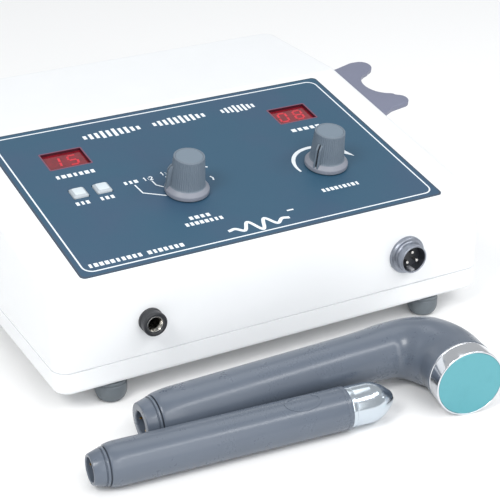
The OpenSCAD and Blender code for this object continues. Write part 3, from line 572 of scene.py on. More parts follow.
class Forge:
    """Gathers one piece's surfaces in millimetres, in the piece's own frame."""

    def __init__(self) -> None:
        """Starts with nothing."""
        self.points: list[Vector] = []
        self.faces: list[tuple[int, ...]] = []
        self.marks: list[int] = []
        self.mark = 0

    def ring(self, points: Iterable[Vector]) -> list[int]:
        """Adds points and gives their numbers."""
        start = len(self.points)
        self.points.extend(points)
        return list(range(start, len(self.points)))

    def face(self, *corners: int) -> None:
        """Adds one face in the current mark."""
        self.faces.append(tuple(corners))
        self.marks.append(self.mark)

    def bridge(self, low: list[int], high: list[int]) -> None:
        """Joins two closed rings; a ring of one point closes to a fan."""
        n = max(len(low), len(high))
        for k in range(n):
            m = (k + 1) % n
            if len(low) == 1:
                self.face(low[0], high[m], high[k])
            elif len(high) == 1:
                self.face(low[k], low[m], high[0])
            else:
                self.face(low[k], low[m], high[m], high[k])

    def loft(self, rings: Sequence[list[int]], closed: bool = False, caps: bool = True) -> None:
        """Joins rings in order.

        Args:
            rings: Rings of point numbers.
            closed: Whether the last ring joins the first, as on a tube wall.
            caps: Whether the two ends of an open loft are closed with flat faces.
        """
        for low, high in zip(rings, rings[1:]):
            self.bridge(low, high)
        if closed:
            self.bridge(rings[-1], rings[0])
        elif caps:
            for end in (rings[0], rings[-1]):
                if len(end) > 2:
                    self.face(*end)

    def lathe(self, profile: Sequence[Point2], sides: int = 96, closed: bool = False,
              relief: Optional[Callable[[float, float, float], float]] = None,
              at: Point2 = (0.0, 0.0)) -> None:
        """Turns a profile about an axis along Z.

        Args:
            profile: Points (radius, height).
            sides: Facets round the axis.
            closed: Whether the profile is a loop, as on a ring.
            relief: Gives the radius from (radius, height, angle) where the surface isn't plain round.
            at: Where the axis stands.
        """
        rings = []
        for r, z in profile:
            if r < 1e-6:
                rings.append(self.ring([Vector((*at, z))]))
                continue
            around = []
            for k in range(sides):
                a = math.tau * k / sides
                rr = relief(r, z, a) if relief else r
                around.append(Vector((at[0] + rr * math.cos(a), at[1] + rr * math.sin(a), z)))
            rings.append(self.ring(around))
        self.loft(rings, closed)

    def slab(self, outline: Sequence[Point2], low: float, high: float, edge_low: float, edge_high: float,
             steps: int = 4) -> None:
        """A plate with rounded edges.

        Args:
            outline: Its plan, anticlockwise.
            low: Height of its underside.
            high: Height of its top.
            edge_low: Rounding of the lower edge.
            edge_high: Rounding of the upper edge.
            steps: Facets in a rounded edge.
        """
        rows: list[Point2] = []
        for side, edge in ((0, edge_low), (1, edge_high)):
            turns = [k / steps for k in range(steps + 1)] if edge > 0 else [1.0]
            arcs = []
            for a in (t * math.pi / 2 for t in turns):
                give, rise = edge * (1 - math.sin(a)), edge * (1 - math.cos(a))
                arcs.append((give, low + rise if side == 0 else high - rise))
            rows.extend(arcs if side == 0 else reversed(arcs))
        rings = [self.ring(Vector((x, y, z)) for x, y in inset(outline, give)) for give, z in rows]
        self.loft(rings)

    def strip(self, line: Sequence[Point2], widths: Union[float, Sequence[float]], low: float, high: float,
              closed: bool = False) -> None:
        """A flat raised line, such as printed ink.

        Args:
            line: Its middle line.
            widths: One width, or one for each point.
            low: Height of its underside.
            high: Height of its top.
            closed: Whether it joins up.
        """
        points = [Vector(p) for p in line]
        count = len(points)
        rings = []
        for i, here in enumerate(points):
            back = here - points[i - 1] if closed or i else points[1] - here
            ahead = points[(i + 1) % count] - here if closed or i < count - 1 else here - points[i - 1]
            along = (back.normalized() + ahead.normalized()).normalized()
            lean = max(0.4, along.dot(ahead.normalized()))
            half = (widths if isinstance(widths, (int, float)) else widths[i]) / 2 / lean
            side = Vector((-along.y, along.x)) * half
            a, b = here + side, here - side
            corners = ((a, low), (a, high), (b, high), (b, low))
            rings.append(self.ring([Vector((p.x, p.y, z)) for p, z in corners]))
        self.loft(rings, closed)

    def make(self, name: str, place: Matrix, finishes: Sequence[Finish], smooth: float = 38.0,
             level: bool = False) -> bpy.types.Object:
        """Makes the object.

        Args:
            name: The piece's name.
            place: Its place, in millimetres, in the shared frame.
            finishes: Its materials, one for each mark.
            smooth: Angle in degrees above which an edge stays sharp.
            level: Whether the mesh takes the turn, which leaves the object square to the shared frame.

        Returns:
            The new object.
        """
        turn = place.to_3x3() if level else Matrix.Identity(3)
        mesh = bpy.data.meshes.new(name)
        mesh.from_pydata([tuple(turn @ p * MM) for p in self.points], [], self.faces)
        mesh.polygons.foreach_set("material_index", self.marks)
        shape = bmesh.new()
        shape.from_mesh(mesh)
        bmesh.ops.remove_doubles(shape, verts=shape.verts, dist=1e-7)
        bmesh.ops.recalc_face_normals(shape, faces=shape.faces)
        shape.to_mesh(mesh)
        shape.free()
        mesh.polygons.foreach_set("use_smooth", [True] * len(mesh.polygons))
        mesh.set_sharp_from_angle(angle=math.radians(smooth))
        for finish in finishes:
            mesh.materials.append(finish.material())
        made = bpy.data.objects.new(name, mesh)
        bpy.context.scene.collection.objects.link(made)
        spot = Matrix.Identity(4) if level else place.copy()
        spot.translation = place.translation * MM
        made.matrix_world = spot
        return made


def axes(x: Vector, y: Vector, z: Vector, origin: Vector) -> Matrix:
    """Matrix whose columns are three axes and an origin in millimetres."""
    return Matrix((
        (x.x, y.x, z.x, origin.x), (x.y, y.y, z.y, origin.y), (x.z, y.z, z.z, origin.z), (0, 0, 0, 1),
    ))


def turned(name: str, place: Matrix, finish: Finish, profile: Sequence[tuple], sides: int = 96,
           closed: bool = True, steps: int = 5, level: bool = False) -> bpy.types.Object:
    """A piece turned about its place's Z axis.

    Args:
        name: The piece's name.
        place: Its place, in millimetres.
        finish: Its material.
        profile: Points (radius, height) or (radius, height, rounding).
        sides: Facets round the axis.
        closed: Whether the profile is a loop.
        steps: Facets in each rounded corner.
        level: Whether the mesh takes the turn of its place.

    Returns:
        The new object.
    """
    forge = Forge()
    forge.lathe(fillet(profile, closed, steps), sides, closed)
    return forge.make(name, place, [finish], 40, level)


def settle(piece: bpy.types.Object, body: str, look: Look, *nodes: str) -> bpy.types.Object:
    """Lets a finished piece ride on its body and stand for its CAD nodes.

    Args:
        piece: The piece, already in place.
        body: The body that carries it.
        look: Not used.
        nodes: CAD nodes that it stands for.

    Returns:
        The piece.
    """
    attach(piece, body)
    if nodes:
        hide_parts(*nodes)
    log.info("%s rides on %s%s", piece.name, body, " for " + ", ".join(nodes) if nodes else "")
    return piece


# --------------------------------------------------------------------- places


class Places:
    """Where things are, in millimetres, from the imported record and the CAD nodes' boxes."""

    def __init__(self, record: dict, joints: Sequence[dict]) -> None:
        """Reads the joints and mounts, and finds the slope of the console's top."""
        self.joints = {j["name"]: j for j in joints}
        self.mounts = {m["name"]: m for m in record.get("mounts", [])}
        low, high = self.box("control_panel")
        self.middle_x = (low.x + high.x) / 2
        self.normal = Vector(self.joints["mode_turn"]["axis"]).normalized()
        self.up_slope = Vector((0, self.normal.z, -self.normal.y))
        pivot = Vector(self.joints["mode_turn"]["pos_m"]) / MM
        self.slope_origin = pivot - self.up_slope * MODE_KNOB_S
        self.slope_origin.x = self.middle_x

    @staticmethod
    def box(node: str) -> tuple[Vector, Vector]:
        """A CAD node's lowest and highest corners in millimetres."""
        low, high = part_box(node)
        return low / MM, high / MM

    def slope(self, x: float, s: float, h: float = 0.0, turn: float = 0.0) -> Matrix:
        """Place on the sloped top: x across, s up the slope, h above it, turned about its normal."""
        origin = self.slope_origin + Vector((x, 0, 0)) + self.up_slope * s + self.normal * h
        return axes(Vector((1, 0, 0)), self.up_slope, self.normal, origin) @ Matrix.Rotation(turn, 4, "Z")

    def front(self, node: str) -> Matrix:
        """Place on the front face behind a fitting, with Z out of the face and Y up."""
        low, high = self.box(node)
        face = self.box("jack_bushing")[1].y
        origin = Vector(((low.x + high.x) / 2, face, (low.z + high.z) / 2))
        return axes(Vector((1, 0, 0)), Vector((0, 0, 1)), Vector((0, -1, 0)), origin)

    def applicator(self, mount: str) -> Matrix:
        """Place of an applicator's tail end, with Z along its handle and Y up."""
        tail = Vector(self.mounts[mount]["pos_m"]) / MM
        along = -Vector(self.mounts[mount]["axis"]).normalized()
        side = Vector((0, 0, 1)).cross(along).normalized()
        return axes(side, along.cross(side), along, tail)


# ------------------------------------------------------------- control panel

STROKES = {
    "1": [[(0.3, 0.8), (0.55, 1.0), (0.55, 0.0)]],
    "2": [[(0.0, 0.8), (0.2, 1.0), (0.5, 1.0), (0.7, 0.8), (0.7, 0.6), (0.0, 0.0), (0.7, 0.0)]],
    "4": [[(0.55, 0.0), (0.55, 1.0), (0.0, 0.3), (0.75, 0.3)]],
    "8": [[(0.35, 0.53), (0.65, 0.75), (0.35, 1.0), (0.05, 0.75), (0.35, 0.53), (0.7, 0.25), (0.35, 0.0),
           (0.0, 0.25), (0.35, 0.53)]],
    ":": [[(0.3, 0.2), (0.3, 0.32)], [(0.3, 0.62), (0.3, 0.74)]],
}


@dataclass
class ControlPanel:
    """The printed overlay on the sloped top: border, captions, scales, and the two display windows."""

    places: Places
    width: float = 223.2
    start: float = 12.2
    length: float = 146.7
    top: float = 0.3
    ink_height: float = 0.05
    window_width: float = 26.0
    window_length: float = 18.5
    window_x: float = 74.6
    window_s: float = 122.8
    pane_top: float = -1.2
    body: str = "console"

    def ink(self, forge: Forge, line: Sequence[Point2], widths: Union[float, Sequence[float]],
            closed: bool = False) -> None:
        """Draws one printed line on the overlay."""
        forge.strip(line, widths, self.top - 0.02, self.top + self.ink_height, closed)

    def printed(self, forge: Forge, name: str, *inks: Ink) -> bpy.types.Object:
        """Makes one printed piece on the overlay, in white ink unless others are given."""
        piece = forge.make(name, self.places.slope(0, 0), inks or [INK_WHITE], 30)
        return settle(piece, self.body, Look.CASE_WHITE)

    def caption(self, forge: Forge, x0: float, x1: float, s: float, tall: float, words: Sequence[int],
                seed: int) -> None:
        """Stands in for a caption with plain upright blocks, in groups of a word's length.

        Args:
            forge: Where the blocks go.
            x0: Left end.
            x1: Right end.
            s: Foot of the blocks, up the slope.
            tall: Their height.
            words: Blocks in each group.
            seed: Picks the pattern of widths.
        """
        draw = random.Random(seed)
        cells = sum(words) + 0.8 * (len(words) - 1)
        pitch = (x1 - x0) / cells
        x = x0
        for count in words:
            for _ in range(count):
                wide = pitch * draw.choice([0.5, 0.62, 0.72])
                middle = x + pitch / 2
                self.ink(forge, [(middle, s), (middle, s + tall)], wide)
                x += pitch
            x += 0.8 * pitch

    def figures(self, forge: Forge, text: str, x: float, s: float, tall: float, thick: float) -> None:
        """Draws scale numbers with plain strokes."""
        for letter in text:
            for stroke in STROKES[letter]:
                self.ink(forge, [(x + a * tall * 0.8, s + b * tall) for a, b in stroke], thick)
            x += tall * (0.5 if letter == ":" else 0.85)

    def border(self) -> bpy.types.Object:
        """The white border line, and a dark line at the overlay's rim that is painted shadow of the recess the
        panel sits in.
        """
        middle = self.start + self.length / 2
        forge = Forge()
        # The second line, at the very rim, is painted shadow of the panel's recess.
        for margin, radius, width, mark in ((4.0, 5.5, 0.85, 0), (0.45, 2.8, 0.7, 1)):
            forge.mark = mark
            line = rounded_rectangle(self.width - 2 * margin, self.length - 2 * margin, radius)
            self.ink(forge, [(x, y + middle) for x, y in line], width, True)
        return self.printed(forge, "panel_border", INK_WHITE, RIM_PAINTED_SHADOW)

    def captions(self) -> bpy.types.Object:
        """Plain stand-ins for the captions beside the windows, keys and knobs."""
        forge = Forge()
        rows = (
            (-88.0, -63.5, 103.9, 3.3, (7,), 3), (63.6, 84.5, 103.0, 3.2, (5,), 5),
            (-87.8, -78.8, 75.4, 3.2, (3,), 7), (-73.3, -64.0, 75.6, 3.2, (3,), 8),
            (-36.3, -22.6, 40.4, 3.0, (4,), 11), (-41.0, -17.4, 35.2, 3.0, (8,), 12),
            (47.0, 72.0, 38.4, 3.1, (9,), 13), (-104.5, -49.0, 19.4, 3.2, (10, 7), 14),
            (-55.0, -45.5, 85.2, 3.0, (3,), 15),
        )
        for x0, x1, s, tall, words, seed in rows:
            self.caption(forge, x0, x1, s, tall, words, seed)
        return self.printed(forge, "panel_captions")

    def title(self) -> bpy.types.Object:
        """A band of sound-wave bars along the top and a plain pulse mark at the foot."""
        forge = Forge()
        for x0, x1, cells in ((-57.0, -19.0, 10), (-12.0, 24.0, 10), (34.0, 58.0, 8)):
            pitch = (x1 - x0) / cells
            for k in range(cells):
                swell = math.sin(math.pi * (k + 0.5) / cells)
                tall = 3.0 + 5.6 * swell * (1.0 if k % 2 else 0.72)
                x = x0 + pitch * (k + 0.5)
                self.ink(forge, [(x, 140.4 - tall / 2), (x, 140.4 + tall / 2)], pitch * 0.56)
        wave = []
        for k in range(73):
            t = k / 72
            swell = math.sin(math.pi * t) ** 1.4
            wave.append((-21.5 + 38.0 * t, 23.2 + 4.8 * swell * math.sin(math.tau * 3.5 * t)))
        self.ink(forge, wave, 2.0)
        self.ink(forge, [(18.4, 29.4), (22.4, 29.4)], 1.1)
        return self.printed(forge, "panel_wave_marks")

    def scales(self) -> bpy.types.Object:
        """Leaders and ratios round the mode knob and the swelling arrow round the intensity knob."""
        forge = Forge()
        self.ink(forge, [(-49.3, 83.4), (-48.4, 74.4), (-37.2, 67.4)], 0.8)
        self.ink(forge, [(-38.4, 84.2), (-38.0, 79.2), (-34.9, 76.0)], 0.75)
        self.ink(forge, [(-29.2, 85.4), (-28.6, 81.0)], 0.75)
        self.ink(forge, [(-4.6, 87.6), (-2.2, 86.0)], 1.0)
        self.ink(forge, [(-5.4, 76.6), (-4.6, 74.6), (-5.2, 72.4)], 0.9)
        for text, x, s in (("1:2", -42.8, 85.2), ("1:4", -31.2, 87.0)):
            self.figures(forge, text, x, s, 3.1, 0.62)
        sweep = arc((63.9, 66.0), 17.9, 192.0, 34.0, 4.0)
        widths = [1.2 + 1.1 * min(1.0, k / 9.0) for k in range(len(sweep))]
        self.ink(forge, sweep, widths)
        self.ink(forge, [(77.9, 76.8), (81.4, 72.4), (85.0, 66.6)], [5.6, 3.6, 0.3])
        return self.printed(forge, "panel_scales")

    def digits(self, name: str, x: float, text: str) -> bpy.types.Object:
        """Seven-segment figures that glow behind the red pane."""
        lit = {"0": "abcdef", "1": "bc", "5": "acdfg", "8": "abcdefg"}
        bars = {
            "a": ((0, 1), (1, 1)), "b": ((1, 1), (1, 0.5)), "c": ((1, 0.5), (1, 0)), "d": ((0, 0), (1, 0)),
            "e": ((0, 0.5), (0, 0)), "f": ((0, 1), (0, 0.5)), "g": ((0, 0.5), (1, 0.5)),
        }
        forge = Forge()
        wide, tall, lean, first, pitch = 5.2, 9.4, 0.14, -9.2, 10.6
        low, high = self.pane_top - 0.03, self.pane_top + 0.05
        for k, figure in enumerate(text):
            left = first + k * pitch
            for bar in lit[figure]:
                ends = [(left + a * wide + b * tall * lean, (b - 0.5) * tall) for a, b in bars[bar]]
                a, b = Vector(ends[0]), Vector(ends[1])
                trim = (b - a).normalized() * 0.55
                forge.strip([tuple(a + trim), tuple(b - trim)], 1.35, low, high)
        piece = forge.make(name, self.places.slope(x, self.window_s), [DIGIT_RED], 30)
        return settle(piece, self.body, Look.WINDOW_RED)

    def rim(self, name: str, x: float) -> bpy.types.Object:
        """The thin edge of the red filter that shows round a window."""
        forge = Forge()
        line = rounded_rectangle(self.window_width - 0.5, self.window_length - 0.5, 0.5, 3)
        forge.strip(line, 0.75, self.top - 0.25, self.top + 0.06, True)
        piece = forge.make(name, self.places.slope(x, self.window_s), [WINDOW_RIM], 30)
        return settle(piece, self.body, Look.WINDOW_RED)

    def build(self) -> None:
        """Builds every printed piece and the windows' details."""
        self.border()
        self.captions()
        self.title()
        self.scales()
        self.digits("minutes_digits", -self.window_x, "15")
        self.digits("intensity_digits", self.window_x, "08")
        self.rim("minutes_window_rim", -self.window_x)
        self.rim("intensity_window_rim", self.window_x)


@dataclass
class Key:
    """A square push key with a chamfered cap, a hidden flange and a stem."""

    places: Places
    name: str
    body: str
    node: str
    x: float
    s: float = 86.6
    side: float = 9.0
    top: float = 2.3
    flange_top: float = -3.3

    def build(self) -> bpy.types.Object:
        """Builds the key."""
        forge = Forge()
        rows = [(0.0, self.flange_top), (0.0, 0.9), (0.25, 1.2), (1.25, self.top - 0.25),
                (1.45, self.top - 0.06), (1.75, self.top)]
        rings = []
        for give, z in rows:
            side = self.side - 2 * give
            rings.append(forge.ring(Vector((x, y, z)) for x, y in rounded_rectangle(side, side, 0.9, 4)))
        # The sides take a darker copy of the key's white: painted shade on the key's sides.
        forge.mark = 1
        forge.loft(rings[:4], caps=False)
        forge.mark = 0
        forge.face(*rings[0])
        forge.loft(rings[3:], caps=False)
        forge.face(*rings[-1])
        forge.slab(rounded_rectangle(self.side + 2.4, self.side + 2.4, 0.8, 3),
                   self.flange_top - 1, self.flange_top, 0.15, 0.15, 2)
        forge.lathe([(0, self.flange_top - 2.7), (1.8, self.flange_top - 2.7), (1.8, self.flange_top - 1),
                     (0, self.flange_top - 1)], 24)
        piece = forge.make(self.name, self.places.slope(self.x, self.s), [Look.KEY_WHITE.value, KEY_SIDE_PAINTED_SHADE], 40)
        return settle(piece, self.body, Look.KEY_WHITE, self.node)


@dataclass
class Knob:
    """A pointer knob: skirt, fluted grip with a cap in a paler grey that is painted light, and a slotted fin that
    points.
    """

    places: Places
    name: str
    body: str
    node: str
    x: float
    s: float
    rest: float
    skirt_r: float = 12.6
    grip_r: float = 10.1
    grip_top_r: float = 8.8
    height: float = 22.7
    foot: float = 0.6
    skirt_top: float = 4.9
    skirt_rim: float = 2.6
    recess_r: float = 7.7
    flutes: int = 48
    flute_depth: float = 0.3

    def place(self, turn: float = 0.0) -> Matrix:
        """The knob's foot on the slope, turned about its axis."""
        return self.places.slope(self.x, self.s, self.foot, turn)

    def grip_radius(self, z: float) -> float:
        """Radius of the plain tapered grip at a height."""
        rise = (z - self.skirt_top) / (self.height - self.skirt_top)
        return self.grip_r + (self.grip_top_r - self.grip_r) * rise

    def fluted(self, r: float, z: float, angle: float) -> float:
        """Radius with the flutes cut in, which fade out at both ends of the grip."""
        low, high = self.skirt_top + 0.2, self.height - 0.5
        if r < self.recess_r + 0.2 or z < low or z > high:
            return r
        fade = min(1.0, (z - low) / 0.7, (high - z) / 0.9)
        return r - self.flute_depth * max(0.0, fade) * (0.5 - 0.5 * math.cos(self.flutes * angle)) ** 1.3

    def knob_body(self) -> bpy.types.Object:
        """The skirt and the grip in one turned solid with a bore and a recess."""
        h, rim = self.height, self.skirt_r
        outline = [
            (0, 16.5), (3.05, 16.5), (3.05, 5.0), (self.recess_r, 5.0), (self.recess_r, 0.0, 0.2),
            (rim - 0.5, 0.0, 0.3), (rim, 0.5, 0.4), (rim, self.skirt_rim, 0.75),
            (self.grip_r + 0.55, self.skirt_top - 0.15, 0.4),
            (self.grip_radius(5.1), 5.1), (self.grip_radius(5.8), 5.8), (self.grip_radius(9.0), 9.0),
            (self.grip_radius(14.0), 14.0), (self.grip_radius(h - 1.4), h - 1.4),
            (self.grip_radius(h - 0.5) - 0.02, h - 0.5), (self.grip_top_r - 0.1, h, 0.35),
            (self.grip_top_r - 1.0, h, 0.2), (self.grip_top_r - 1.15, h - 0.35, 0.1), (0, h - 0.35),
        ]
        forge = Forge()
        forge.lathe(fillet(outline), self.flutes * 8, relief=self.fluted)
        piece = forge.make(self.name, self.place(), [Look.KNOB_GREY.value], 40, True)
        return settle(piece, self.body, Look.KNOB_GREY, self.node)

    def skirt_ring(self) -> bpy.types.Object:
        """The collar that lies over the skirt, in a paler copy of the knob's grey: painted light on the skirt's
        lit face.
        """
        rim = self.skirt_r
        loop = [
            (rim - 0.5, 0.35, 0.1), (rim + 0.03, 0.6, 0.3), (rim + 0.03, self.skirt_rim + 0.05, 0.8),
            (self.grip_r + 0.6, self.skirt_top - 0.04, 0.3), (self.grip_r + 0.2, self.skirt_top - 0.1),
            (self.grip_r + 0.3, self.skirt_top - 0.6), (rim - 0.7, self.skirt_rim - 0.3),
        ]
        piece = turned(f"{self.name}_skirt_ring", self.place(), SKIRT_PAINTED_LIGHT, loop, 128, steps=4, level=True)
        return settle(piece, self.body, Look.KNOB_GREY)

    def cap(self) -> bpy.types.Object:
        """The disc let into the top, in a paler copy of the knob's grey: painted light where the top faces the
        lamps.
        """
        r, h = self.grip_top_r - 1.15, self.height
        disc = [(0, h - 0.5), (r, h - 0.5), (r, h - 0.1, 0.15), (r - 0.5, h - 0.05, 0.2), (0, h - 0.1)]
        piece = turned(f"{self.name}_cap", self.place(), KNOB_TOP_PAINTED_LIGHT, disc, closed=False, level=True)
        return settle(piece, self.body, Look.KNOB_GREY)

    def fin(self) -> bpy.types.Object:
        """The pointer: two ribs with a dark slot between them, from the grip to the skirt's rim."""
        r0, rim, top = self.recess_r + 0.3, self.skirt_r - 0.1, self.height * 0.77 - 0.1
        foot = self.skirt_rim + 0.1
        side = fillet([(r0, foot), (rim, foot, 0.3), (rim - 0.85, self.height * 0.64, 1.2),
                       (self.grip_r - 0.25, top, 0.5), (r0, top)], True, 5)
        slot = [(r0, foot + 0.5), (rim - 0.7, foot + 0.5), (rim - 1.5, self.height * 0.62),
                (self.grip_r - 0.7, top - 0.7), (r0, top - 0.7)]
        forge = Forge()
        for low, high in ((-1.6, -0.55), (0.5, 1.6)):
            forge.mark = 0
            forge.slab(side, low, high, 0.22, 0.22, 3)
        forge.mark = 1
        forge.slab(slot, -0.6, 0.55, 0, 0)
        place = self.place(math.radians(self.rest)) @ Matrix.Rotation(math.pi / 2, 4, "X")
        piece = forge.make(f"{self.name}_pointer", place, [Look.KNOB_GREY.value, POINTER_DARK], 40, True)
        return settle(piece, self.body, Look.KNOB_GREY)

    def build(self) -> None:
        """Builds the knob's pieces."""
        self.knob_body()
        self.skirt_ring()
        self.cap()
        self.fin()


# --------------------------------------------------------------- front fittings


@dataclass
class Jack:
    """The small round jack: a dark bushing round a bright sleeve with a funnel mouth."""

    places: Places
    body: str = "console"
    bushing_r: float = 6.75
    sleeve_r: float = 4.5
    bore_r: float = 3.2
    out: float = 7.0

    def build(self) -> None:
        """Builds the bushing and the sleeve."""
        place = self.places.front("jack_bushing")
        inner, outer, out = self.sleeve_r + 0.05, self.bushing_r, self.out
        piece = turned("jack_bushing_turned", place, Look.BLACK_PLASTIC.value, [
            (inner, 0.0), (outer, 0.0), (outer, 1.4, 0.1), (outer - 0.35, 1.7, 0.1), (outer - 0.35, 4.6, 0.2),
            (outer, 5.0, 0.2), (outer, out, 0.8), (inner + 0.7, out, 0.5), (inner, out - 0.9),
        ])
        settle(piece, self.body, Look.BLACK_PLASTIC, "jack_bushing")
        mouth, root = out - 0.8, -15.0
        piece = turned("jack_sleeve_turned", place, Look.NICKEL.value, [
            (self.bore_r, root), (self.sleeve_r, root), (self.sleeve_r, mouth, 0.1),
            (self.sleeve_r - 0.3, mouth, 0.1), (self.bore_r, mouth - 2.0, 0.8),
        ])
        settle(piece, self.body, Look.NICKEL, "jack_sleeve")


@dataclass
class ProbeSocket:
    """The round socket for an applicator's lead: a flanged barrel, a keyway and three contacts."""

    places: Places
    body: str = "console"
    barrel_r: float = 8.3
    flange_r: float = 11.0
    flange_t: float = 2.6
    out: float = 8.2
    wall: float = 1.0
    cavity: float = 5.6
    tail: float = 14.0
    pin_r: float = 1.0
    pin_ring: float = 3.7

    def build(self) -> None:
        """Builds the shell, its keyway and the pins."""
        place = self.places.front("socket_shell")
        bore, barrel = self.barrel_r - self.wall, self.barrel_r
        piece = turned("probe_socket_shell", place, Look.CONNECTOR_GREY.value, [
            (bore, -self.tail), (barrel, -self.tail), (barrel, 0.0), (self.flange_r, 0.0),
            (self.flange_r, self.flange_t - 0.9, 0.5), (self.flange_r - 0.7, self.flange_t, 0.5),
            (barrel + 0.7, self.flange_t + 0.1, 0.3), (barrel + 0.1, self.flange_t + 0.8, 0.6),
            (barrel, self.out, 0.45), (bore + 0.15, self.out, 0.3), (bore, self.out - 0.5, 0.2),
        ], 112)
        settle(piece, self.body, Look.CONNECTOR_GREY, "socket_shell")
        forge = Forge()
        half, low, high = 1.2, -bore - 0.1, -bore + 1.1
        key = fillet([(-half, low), (half, low), (half, high, 0.4), (-half, high, 0.4)], True, 4)
        forge.slab(key, self.out - self.cavity, self.out - 0.7, 0, 0.3, 3)
        piece = forge.make("probe_socket_keyway", place, [KEYWAY_GREY], 40)
        settle(piece, self.body, Look.CONNECTOR_GREY)
        forge = Forge()
        root, tip, r = -17.0, self.out - 1.8, self.pin_r
        for a in (math.radians(angle) for angle in (90, 210, 330)):
            at = (self.pin_ring * math.cos(a), self.pin_ring * math.sin(a))
            forge.lathe(fillet([(0, root), (r, root), (r, tip, 0.7), (0, tip)]), 24, at=at)
        piece = forge.make("probe_socket_contacts", place, [Look.NICKEL.value], 50)
        settle(piece, self.body, Look.NICKEL, "socket_pins")


@dataclass
class Feet:
    """Four rubber feet, domed down to a small flat, each with a screw recess."""

    places: Places
    body: str = "console"
    radius: float = 8.75
    flat_r: float = 4.95
    height: float = 12.5
    dome_h: float = 6.5
    screw_head_r: float = 3.65
    screw_r: float = 2.15
    screw_seat: float = 6.0

    def build(self) -> bpy.types.Object:
        """Builds the four feet as one piece."""
        low, high = self.places.box("feet")
        r, h, give = self.radius, self.height, self.radius - self.flat_r
        dome = [(r - give * (1 - math.sin(a)), self.dome_h * (1 - math.cos(a)))
                for a in (math.pi / 2 * k / 12 for k in range(13))]
        top = fillet([
            dome[-1], (r, h - 2.6, 0.2), (r - 0.5, h - 2.2, 0.2), (r - 0.5, h - 1.7, 0.2), (r, h - 1.4, 0.2),
            (r, h - 0.4, 0.4), (r - 0.6, h),
        ], False, 3)
        head, shank, seat = self.screw_head_r, self.screw_r, self.screw_seat
        loop = [(head, 0.3), (head + 0.25, 0.0), *dome, *top[1:], (shank, h), (shank, seat), (head, seat)]
        forge = Forge()
        for x in (low.x + self.radius, high.x - self.radius):
            for y in (low.y + self.radius, high.y - self.radius):
                forge.lathe(loop, 64, True, at=(x, y))
        piece = forge.make("rubber_feet", Matrix.Identity(4), [Look.FOOT_RUBBER.value], 40)
        return settle(piece, self.body, Look.FOOT_RUBBER, "feet")


@dataclass
class Cradle:
    """The two-horned rest on the console's right side, with its screwed tab."""

    places: Places
    body: str = "console"
    side_x: float = 132.5
    thickness: float = 3.5
    drop: float = 10.0
    notch: Circle = (164.4, 154.7, 15.5)
    front_horn: Circle = (161.0, 131.0, 5.8)
    rear_horn: Circle = (161.0, 178.0, 6.7)
    tab_span: Point2 = (117.2, 178.4)
    tab_t: float = 3.2
    tab_h: float = 15.0

    @staticmethod
    def meeting(horn: Circle, notch: Circle, above: bool) -> Vector:
        """The point nearer the outside where a horn's circle meets the notch's."""
        a, b = Vector(horn[:2]), Vector(notch[:2])
        gap = (b - a).length
        along = (horn[2] ** 2 - notch[2] ** 2 + gap ** 2) / (2 * gap)
        across = math.sqrt(max(0.0, horn[2] ** 2 - along ** 2))
        way = (b - a).normalized()
        side = Vector((way.y, -way.x)) * (across if above else -across)
        return a + way * along + side

    def outline(self) -> list[Point2]:
        """Plan of the plate, anticlockwise: across and up the slope."""
        x0 = self.side_x
        front, rear, notch = Vector(self.front_horn[:2]), Vector(self.rear_horn[:2]), Vector(self.notch[:2])
        low = self.meeting(self.front_horn, self.notch, True)
        high = self.meeting(self.rear_horn, self.notch, False)

        def heading(centre: Vector, point: Vector) -> float:
            """Angle in degrees from a centre to a point."""
            return math.degrees(math.atan2(point.y - centre.y, point.x - centre.x))

        start, end = heading(notch, low) % 360, heading(notch, high) % 360
        path: list[Point2] = [(x0, 118.0), (x0 + 9.5, 118.8), (x0 + 17.5, 123.0)]
        path += arc((front.x, front.y), self.front_horn[2], -90.0, heading(front, low))
        path += arc((notch.x, notch.y), self.notch[2], start, end)[1:-1]
        path += arc((rear.x, rear.y), self.rear_horn[2], heading(rear, high), 90.0)
        path += [(x0 + 23.5, 184.9), (x0 + 9.5, 180.6), (x0, 179.6)]
        return softened(path, 0.75, 4)

    def build(self) -> None:
        """Builds the plate and its tab."""
        forge = Forge()
        plan = [(max(self.side_x + 0.02, x), s) for x, s in self.outline()]
        forge.slab(plan, -self.drop - self.thickness, -self.drop, 0.5, 0.8, 5)
        front, back = self.tab_span
        low, high = -self.drop - self.thickness - self.tab_h, -self.drop - self.thickness / 2
        tab = fillet([(front, low, 3.0), (back, low, 3.0), (back, high, 0.6), (front, high, 0.6)], True, 6)
        tab_forge = Forge()
        tab_forge.slab(tab, self.side_x + 0.02, self.side_x + self.tab_t, 0.0, 0.6, 4)
        for point in tab_forge.points:
            point.x, point.y, point.z = point.z, point.x, point.y
        start = len(forge.points)
        forge.points.extend(tab_forge.points)
        forge.faces.extend(tuple(k + start for k in f) for f in tab_forge.faces)
        forge.marks.extend(tab_forge.marks)
        piece = forge.make("cradle_plate", self.places.slope(0, 0), [Look.CRADLE_GREY.value], 45)
        settle(piece, self.body, Look.CRADLE_GREY, "probe_cradle")


# ------------------------------------------------------------------ applicators


